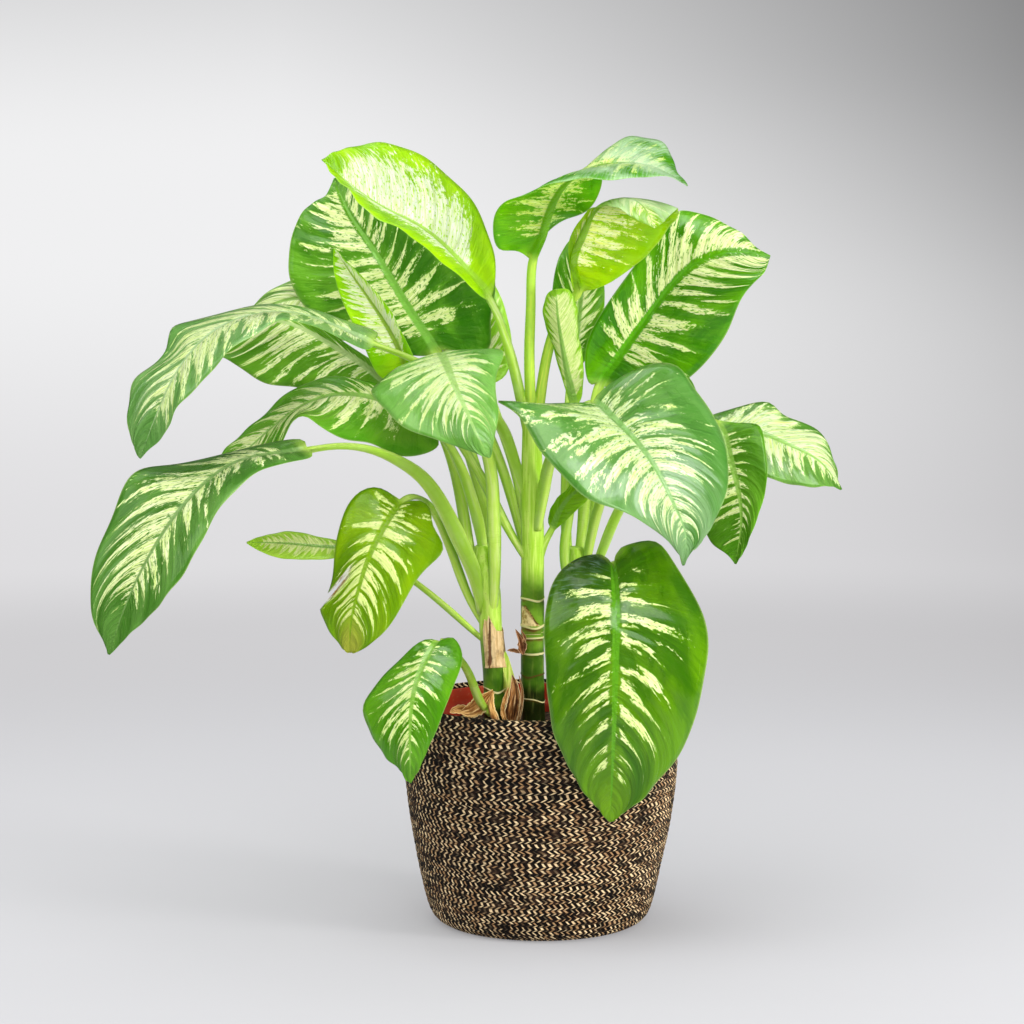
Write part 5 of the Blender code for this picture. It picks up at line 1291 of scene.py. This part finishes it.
# %% Cane finish
def cane_finish(name, tones, cork=None, old_scar=None):
    """Four greens with a pale line at each scar and specks; the darkest, at the foot, is painted shade.

    The patch of cork ends at a brown arc that sinks from 222 to 312 degrees round the cane.
    """
    shade_below, dark_below, fresh_above = tones
    f = Finish(name)
    near, beside, turn = f.parts("cane_place")
    height = f.split(f.place())[2] * (1.0 / MM)
    streaks = f.noise(f.add("Mapping", f.place(), None, None, (1.0, 1.0, 0.06)), 420.0, 3.0, 0.6)
    clouds = f.noise(f.place(), 60.0, 3.0, 0.55)
    soft = f.step(clouds, 0.35, 0.65)
    # The near-black green at the foot, by the rims of the pot and basket: painted shade.
    deep_shade = f.blend(soft, srgb(10, 22, 4), srgb(30, 46, 8))
    old = f.blend(soft, srgb(44, 84, 8), srgb(80, 120, 22))
    middle = f.blend(soft, srgb(80, 122, 18), srgb(112, 154, 38))
    fresh = f.blend(f.step(streaks, 0.35, 0.7), srgb(152, 196, 46), srgb(198, 225, 106))
    height_here = height + (clouds * 8.0 - 4.0)
    colour = f.blend(f.step(height_here, shade_below - 6.0, shade_below + 3.0), deep_shade, old)
    colour = f.blend(f.step(height_here, dark_below - 5.0, dark_below + 5.0), colour, middle)
    colour = f.blend(f.step(height_here, fresh_above - 8.0, fresh_above + 12.0), colour, fresh)
    colour = f.blend(f.step(streaks, 0.56, 0.74) * 0.35, colour, srgb(140, 150, 70))
    if cork:
        low, high = cork
        wobble = f.noise(f.place(), 260.0, 3.0, 0.6)
        arc = f.step(turn, 312.0, 222.0) * (high - low) + low
        above = wobble * 5.0 + height - (arc + 2.5)
        patch = f.step(height, low - 1.0, low + 0.4) * f.step(above, 0.5, -0.5)
        patch = patch * f.step(turn, 196.0, 206.0)
        tan = f.blend(f.step(wobble, 0.36, 0.62), srgb(168, 132, 74), srgb(232, 208, 152))
        colour = f.blend(patch, colour, tan)
        crack = f.step(abs(above), 1.9, 0.7) * f.step(turn, 318.0, 296.0)
        crack = crack * (f.step(height, low, low + 2.0) * f.step(turn, 214.0, 228.0))
        colour = f.blend(crack * f.step(wobble, 0.3, 0.5), colour, srgb(88, 50, 20))
    at_scar = f.step(beside, 0.5, 0.9)
    # Brown under each scar's ridge: partly the scar's own brown, partly painted shade in the groove below
    # the ridge.
    scar_brown_and_shade = f.step(near, -4.2, -1.2) * (f.step(near, -0.4, -1.0) * at_scar)
    colour = f.blend(scar_brown_and_shade * f.step(clouds, 0.4, 0.6), colour, srgb(96, 62, 26))
    uneven = clouds * 1.1 - 0.55
    line = f.step(abs(near) + uneven, 1.0, 0.5) * at_scar
    line_colour = srgb(226, 216, 156)
    if old_scar:
        by_old = f.step(abs(height - old_scar), 7.0, 5.0)
        line_colour = f.blend(by_old, line_colour, srgb(88, 58, 26))
    colour = f.blend(line * 0.9, colour, line_colour)
    specks = f.step(f.noise(f.place(), 700.0, 2.0, 0.5), 0.66, 0.72)
    colour = f.blend(specks * 0.4, colour, srgb(90, 70, 36))
    f.surface(Base_Color=colour, Roughness=clouds * 0.3 + 0.28, Specular_Tint=srgb(240, 255, 190),
              Normal=f.bump(streaks, 0.35, 0.0006))
    return f.material


canes = []
for key, row in CANES.items():
    finish = cane_finish(key + "_cane_finish", row["tones"], row.get("cork"), row.get("old_scar"))
    canes.append(make_cane(key, row, finish))
print("canes:", [triangles(cane) for cane in canes], "triangles")

# %% [markdown]
# ## Dry sheaths, scales and buds
# Old leaf bases dry to paper: one still wraps the left cane under a pointed torn top, and curled
# scraps lie round the canes' feet. Each is a thin strip with two faces. The wrapped one is a part of
# a tube whose top edge is a torn line; the scraps are strips carried along a short curve, cupped
# across and frayed at their edges.

# %% Paper finish
def paper_finish(name, pale, tan, brown, stretch, crack):
    """Tan paper with fibres along it, brown stains and cracks, and a long crack at this X in metres."""
    f = Finish(name)
    along_it = f.add("Mapping", f.place(), None, None, stretch)
    fibres = f.noise(along_it, 520.0, 3.0, 0.6)
    cracks = f.noise(along_it, 160.0, 4.0, 0.62)
    stains = f.noise(f.place(), 75.0, 3.0, 0.6)
    colour = f.blend(f.step(fibres, 0.34, 0.66), tan, pale)
    colour = f.blend(f.step(stains, 0.5, 0.66) * 0.55, colour, brown)
    colour = f.blend(f.step(cracks, 0.585, 0.66) * 0.8, colour, brown)
    aside = abs(f.split(f.place())[0] - (fibres * 0.003 + (crack - 0.0015)))
    wide = stains * 0.005 - 0.0016
    colour = f.blend(f.step(aside - wide, 0.0003, -0.0003) * 0.9, colour, brown)
    relief = fibres - f.step(cracks, 0.58, 0.68) * 0.8
    skin = f.surface(Base_Color=colour, Roughness=0.72, Specular_IOR_Level=0.3,
                     Normal=f.bump(relief, 0.6, 0.0007))
    f.show(f.add("MixShader", 0.12, skin, f.add("BsdfTranslucent", tan)))
    return f.material

# %% Sheath wrapped round the left cane
WRAP_LOW = 224.0
WRAP_EDGE = {228: 258, 240: 267, 252: 266, 262: 270, 276: 265, 300: 257, 340: 256, 400: 260, 450: 258,
             486: 252}    # height of the torn edge in mm at these angles in degrees
WRAP_COLUMNS = 150
WRAP_FACES = (1.15, 0.55)   # how far the paper's two faces stand off the cane


def teeth(rng, count):
    """Chance numbers from -1 to 1, each smoothed a little with its neighbours."""
    return np.convolve(rng.uniform(-1.0, 1.0, count + 2), (0.25, 0.5, 0.25), mode="valid")


def make_wrap():
    """Part of a tube: x = c + (r + e) cos a, with e the paper's stand-off and z up to a torn edge.

    The edge is a line through a few heights with small teeth of chance height on it.
    """
    rng = np.random.default_rng(12)
    angle = np.linspace(min(WRAP_EDGE), max(WRAP_EDGE), WRAP_COLUMNS)
    edge = np.interp(angle, list(WRAP_EDGE), list(WRAP_EDGE.values())) + 1.1 * teeth(rng, WRAP_COLUMNS)
    share = np.linspace(0.0, 1.0, 34)
    low = WRAP_LOW + 1.5 * np.cos(np.radians(angle - 290.0))
    z = low + (edge - low) * share[:, None]
    table = np.asarray(CANES["left"]["line"], float)
    centre = [np.interp(z, table[:, 2], table[:, k]) for k in range(2)]
    radius = np.interp(z, table[:, 2], table[:, 3])
    turn = np.radians(angle)
    fold = 0.25 * np.sin(turn * 9.0 + 3.0 * share[:, None]) + 0.15 * np.sin(turn * 23.0)
    lip = 0.8 * np.exp(-(share[:, None] / 0.05) ** 2)
    reaches = [radius + stand_off + fold + lip for stand_off in WRAP_FACES]
    return [np.stack([centre[0] + r * np.cos(turn), centre[1] + r * np.sin(turn), z], axis=-1)
            for r in reaches]


def close_sheets(name, outer, inner, material):
    """One closed skin from two sheets of points, joined round their edges."""
    rows, columns = outer.shape[:2]
    ring = np.concatenate([outer, inner[:, ::-1]], axis=1)
    k = np.arange(columns - 1)
    cap = np.stack([k, k + 1, 2 * columns - 2 - k, 2 * columns - 1 - k], axis=1)
    faces = [ring_faces(rows, 2 * columns), cap[:, ::-1], cap + (rows - 1) * 2 * columns]
    return make_mesh(name, ring, faces, material)


paper = paper_finish("dry_sheath_finish", srgb(232, 204, 154), srgb(200, 164, 110), srgb(84, 44, 18),
                     (1.0, 1.0, 0.09), -0.0445)
wrap = dress(close_sheets("dry_sheath_paper", *make_wrap(), paper), "dry_sheath", "dry_sheath")
print("wrapped sheath:", triangles(wrap), "triangles")

# %% Finish of the curled scraps
def scrap_finish(name, pale, tan, brown):
    """Brown and pale streaks, partly own colour, partly painted shade and highlight; pale edges: painted
    highlight.
    """
    f = Finish(name)
    across_it, along_it, number = f.parts("strip_place")
    fibres = f.noise(f.point(across_it * 3.4, along_it * 1.6, number), 1.0, 4.0, 0.6)
    stains = f.noise(f.place(), 150.0, 3.0, 0.6)
    colour = f.blend(f.step(fibres, 0.40, 0.58), brown, tan)
    colour = f.blend(f.step(fibres, 0.54, 0.68), colour, pale)
    colour = f.blend(f.step(stains, 0.5, 0.66) * 0.6, colour, brown)
    # Pale at both edges: painted highlight.
    colour = f.blend(f.step(abs(across_it), 0.8, 0.94) * 0.8, colour, pale)
    skin = f.surface(Base_Color=colour, Roughness=0.6, Specular_IOR_Level=0.4,
                     Normal=f.bump(fibres, 0.7, 0.001))
    f.show(f.add("MixShader", 0.15, skin, f.add("BsdfTranslucent", tan)))
    return f

# %% Strips cupped along a curve
def make_strip(name, path, side, cup, thick, fray, material, seed, rows=70):
    """A strip carried along a curve, with edges frayed by chance.

    At share t it is w(t) wide each way, and the point at x across it stands cup * w * (1 - x^2) above
    the curve.
    """
    rng = np.random.default_rng(seed)
    path = np.asarray(path, float)
    line = smooth_curve(path[:, :3])
    t = np.linspace(0.0, 1.0, rows)
    middle = along(line, t)
    ahead = along(line, np.minimum(t + 0.03, 1.0)) - along(line, np.maximum(t - 0.03, 0.0))
    across_it = square_to(np.broadcast_to(np.asarray(side, float), ahead.shape), ahead)
    up = np.cross(arrow(ahead), across_it)
    half = np.interp(t, np.linspace(0.0, 1.0, len(path)), path[:, 3])
    half = half * np.sqrt(np.clip((1.0 - t) / 0.12, 0.06, 1.0))
    right_edge, left_edge = (1.0 + fray * teeth(rng, rows)[:, None] for _ in range(2))
    x = np.linspace(-1.0, 1.0, 25)
    spread = x * np.where(x > 0.0, right_edge, left_edge)
    crease = 0.10 * np.sin(6.0 * x + 5.0 * t[:, None]) + 0.06 * np.sin(15.0 * x - 3.0 * t[:, None])
    lift = half[:, None] * (cup * (1.0 - x ** 2) + crease * (1.0 - np.abs(x)) * min(cup, 1.0))
    sheet = middle[:, None] + half[:, None, None] * spread[..., None] * across_it[:, None]
    sheet = sheet + lift[..., None] * up[:, None]
    rim = (0.5 * thick * (1.0 - 0.6 * x ** 4))[None, :, None] * up[:, None]
    strip = close_sheets(name, sheet - rim, sheet + rim, material)
    place = np.stack([x + 0.0 * t[:, None], t[:, None] + 0.0 * x, seed + 0.0 * sheet[..., 0]], axis=-1)
    keep_points(strip, "strip_place", np.concatenate([place, place[:, ::-1]], axis=1))
    return strip


scrap = scrap_finish("dry_scale_finish", srgb(255, 234, 170), srgb(238, 184, 104), srgb(138, 80, 34))
husk = scrap_finish("dry_husk_finish", srgb(255, 232, 176), srgb(178, 120, 64), srgb(52, 26, 12))
bark = scrap_finish("dry_bud_finish", srgb(236, 196, 146), srgb(184, 126, 80), srgb(92, 52, 30))
green = Finish("side_sheath_finish")
fibres = green.noise(green.add("Mapping", green.place(), None, None, (1.0, 1.0, 0.1)), 500.0, 3.0, 0.6)
fresh = green.blend(green.step(fibres, 0.35, 0.65), srgb(140, 176, 44), srgb(206, 214, 110))
foot_share = green.step(green.split(green.place())[2], 0.214, 0.198)
green.surface(Base_Color=green.blend(foot_share, fresh, srgb(140, 96, 44)), Roughness=0.45,
              Normal=green.bump(fibres, 0.4, 0.0005))

# For each strip: points with the half width there, the way across it, how deep it is cupped, how thick
# it is in mm, how much it is frayed, its finish, its slot and the solid that it stands for.
STRIPS = {
    "dry_scale_front_paper": (
        [(-26, -13, 175, 5.0), (-25, -17, 187, 7.0), (-23, -18, 199, 6.2), (-23, -16, 210, 4.0),
         (-25, -14, 219, 1.5)], (1.0, 0.3, 0.0), 0.5, 0.8, 0.12, husk, "dry_sheath", "dry_scale_front"),
    "dry_scale_left_paper": (
        [(-41, -17, 205, 2.5), (-47, -21, 199, 6.0), (-54, -22, 193, 8.0), (-62, -21, 188, 6.5),
         (-70, -19, 187, 3.0)], (0.3, 0.1, 1.0), 0.45, 0.8, 0.12, scrap, "dry_sheath", "dry_scale_left"),
    "side_sheath_grown": (
        [(-28, -8, 196, 6.0), (-27, -9, 210, 6.0), (-29, -9, 224, 4.2), (-31, -8, 239, 1.5)],
        (0.9, 0.5, 0.0), 0.35, 0.9, 0.03, green, "cane", "side_sheath"),
}
for number, (name, (path, side, cup, thick, fray, finish, slot, node)) in enumerate(STRIPS.items()):
    dress(make_strip(name, path, side, cup, thick, fray, finish.material, 3 + number), slot, node)
print("strips that stand for solids:", len(STRIPS))

# %% Scraps that are too small for solids of their own
# For each scrap: points with the half width there, the way across it, how deep it is cupped and its
# finish.
SCRAPS = {
    "scrap_curled": (
        [(-30, -17, 178, 1.8), (-33, -22, 188, 2.6), (-31, -23, 199, 2.2), (-28, -20, 209, 0.8)],
        (0.8, 0.6, 0.2), 0.9, scrap),
    "scrap_thread": (
        [(-20, -12, 176, 1.0), (-17, -17, 190, 1.5), (-16, -16, 204, 1.2), (-19, -13, 219, 0.5)],
        (1.0, 0.2, 0.0), 0.6, husk),
    "scrap_lip": (
        [(-42, -19, 203, 1.5), (-43, -23, 194, 3.0), (-41, -26, 186, 3.6), (-37, -26, 179, 2.8)],
        (0.9, -0.3, 0.3), 1.0, scrap),
    "scrap_low": (
        [(-60, -14, 184, 4.0), (-68, -18, 189, 4.6), (-74, -20, 189, 3.6), (-79, -22, 187, 1.6)],
        (0.1, 0.3, 1.0), 0.45, scrap),
    "bud_dry": (
        [(-15, -8, 236, 0.8), (-16, -10, 240, 3.6), (-16, -11, 245, 4.4), (-17, -11, 250, 2.8),
         (-20, -11, 255, 1.5), (-22, -11, 259, 0.5)], (1.0, 0.3, 0.0), 0.9, bark),
    "bud_horn": (
        [(-15, -10, 247, 1.4), (-14, -11, 252, 1.6), (-16, -11, 256, 0.9), (-17, -11, 259, 0.4)],
        (1.0, 0.3, 0.0), 0.8, bark),
    "bud_twig": (
        [(-15, -6, 238, 1.3), (-20, -8, 239, 1.7), (-25, -9, 240, 1.7), (-29, -10, 240, 0.8)],
        (0.0, 0.3, 1.0), 0.9, bark),
}
for number, (name, (path, side, cup, finish)) in enumerate(SCRAPS.items()):
    piece = make_strip(name, path, side, cup, 0.7, 0.2, finish.material, 20 + number, rows=36)
    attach(piece, "root")
print("scraps and buds:", len(SCRAPS))
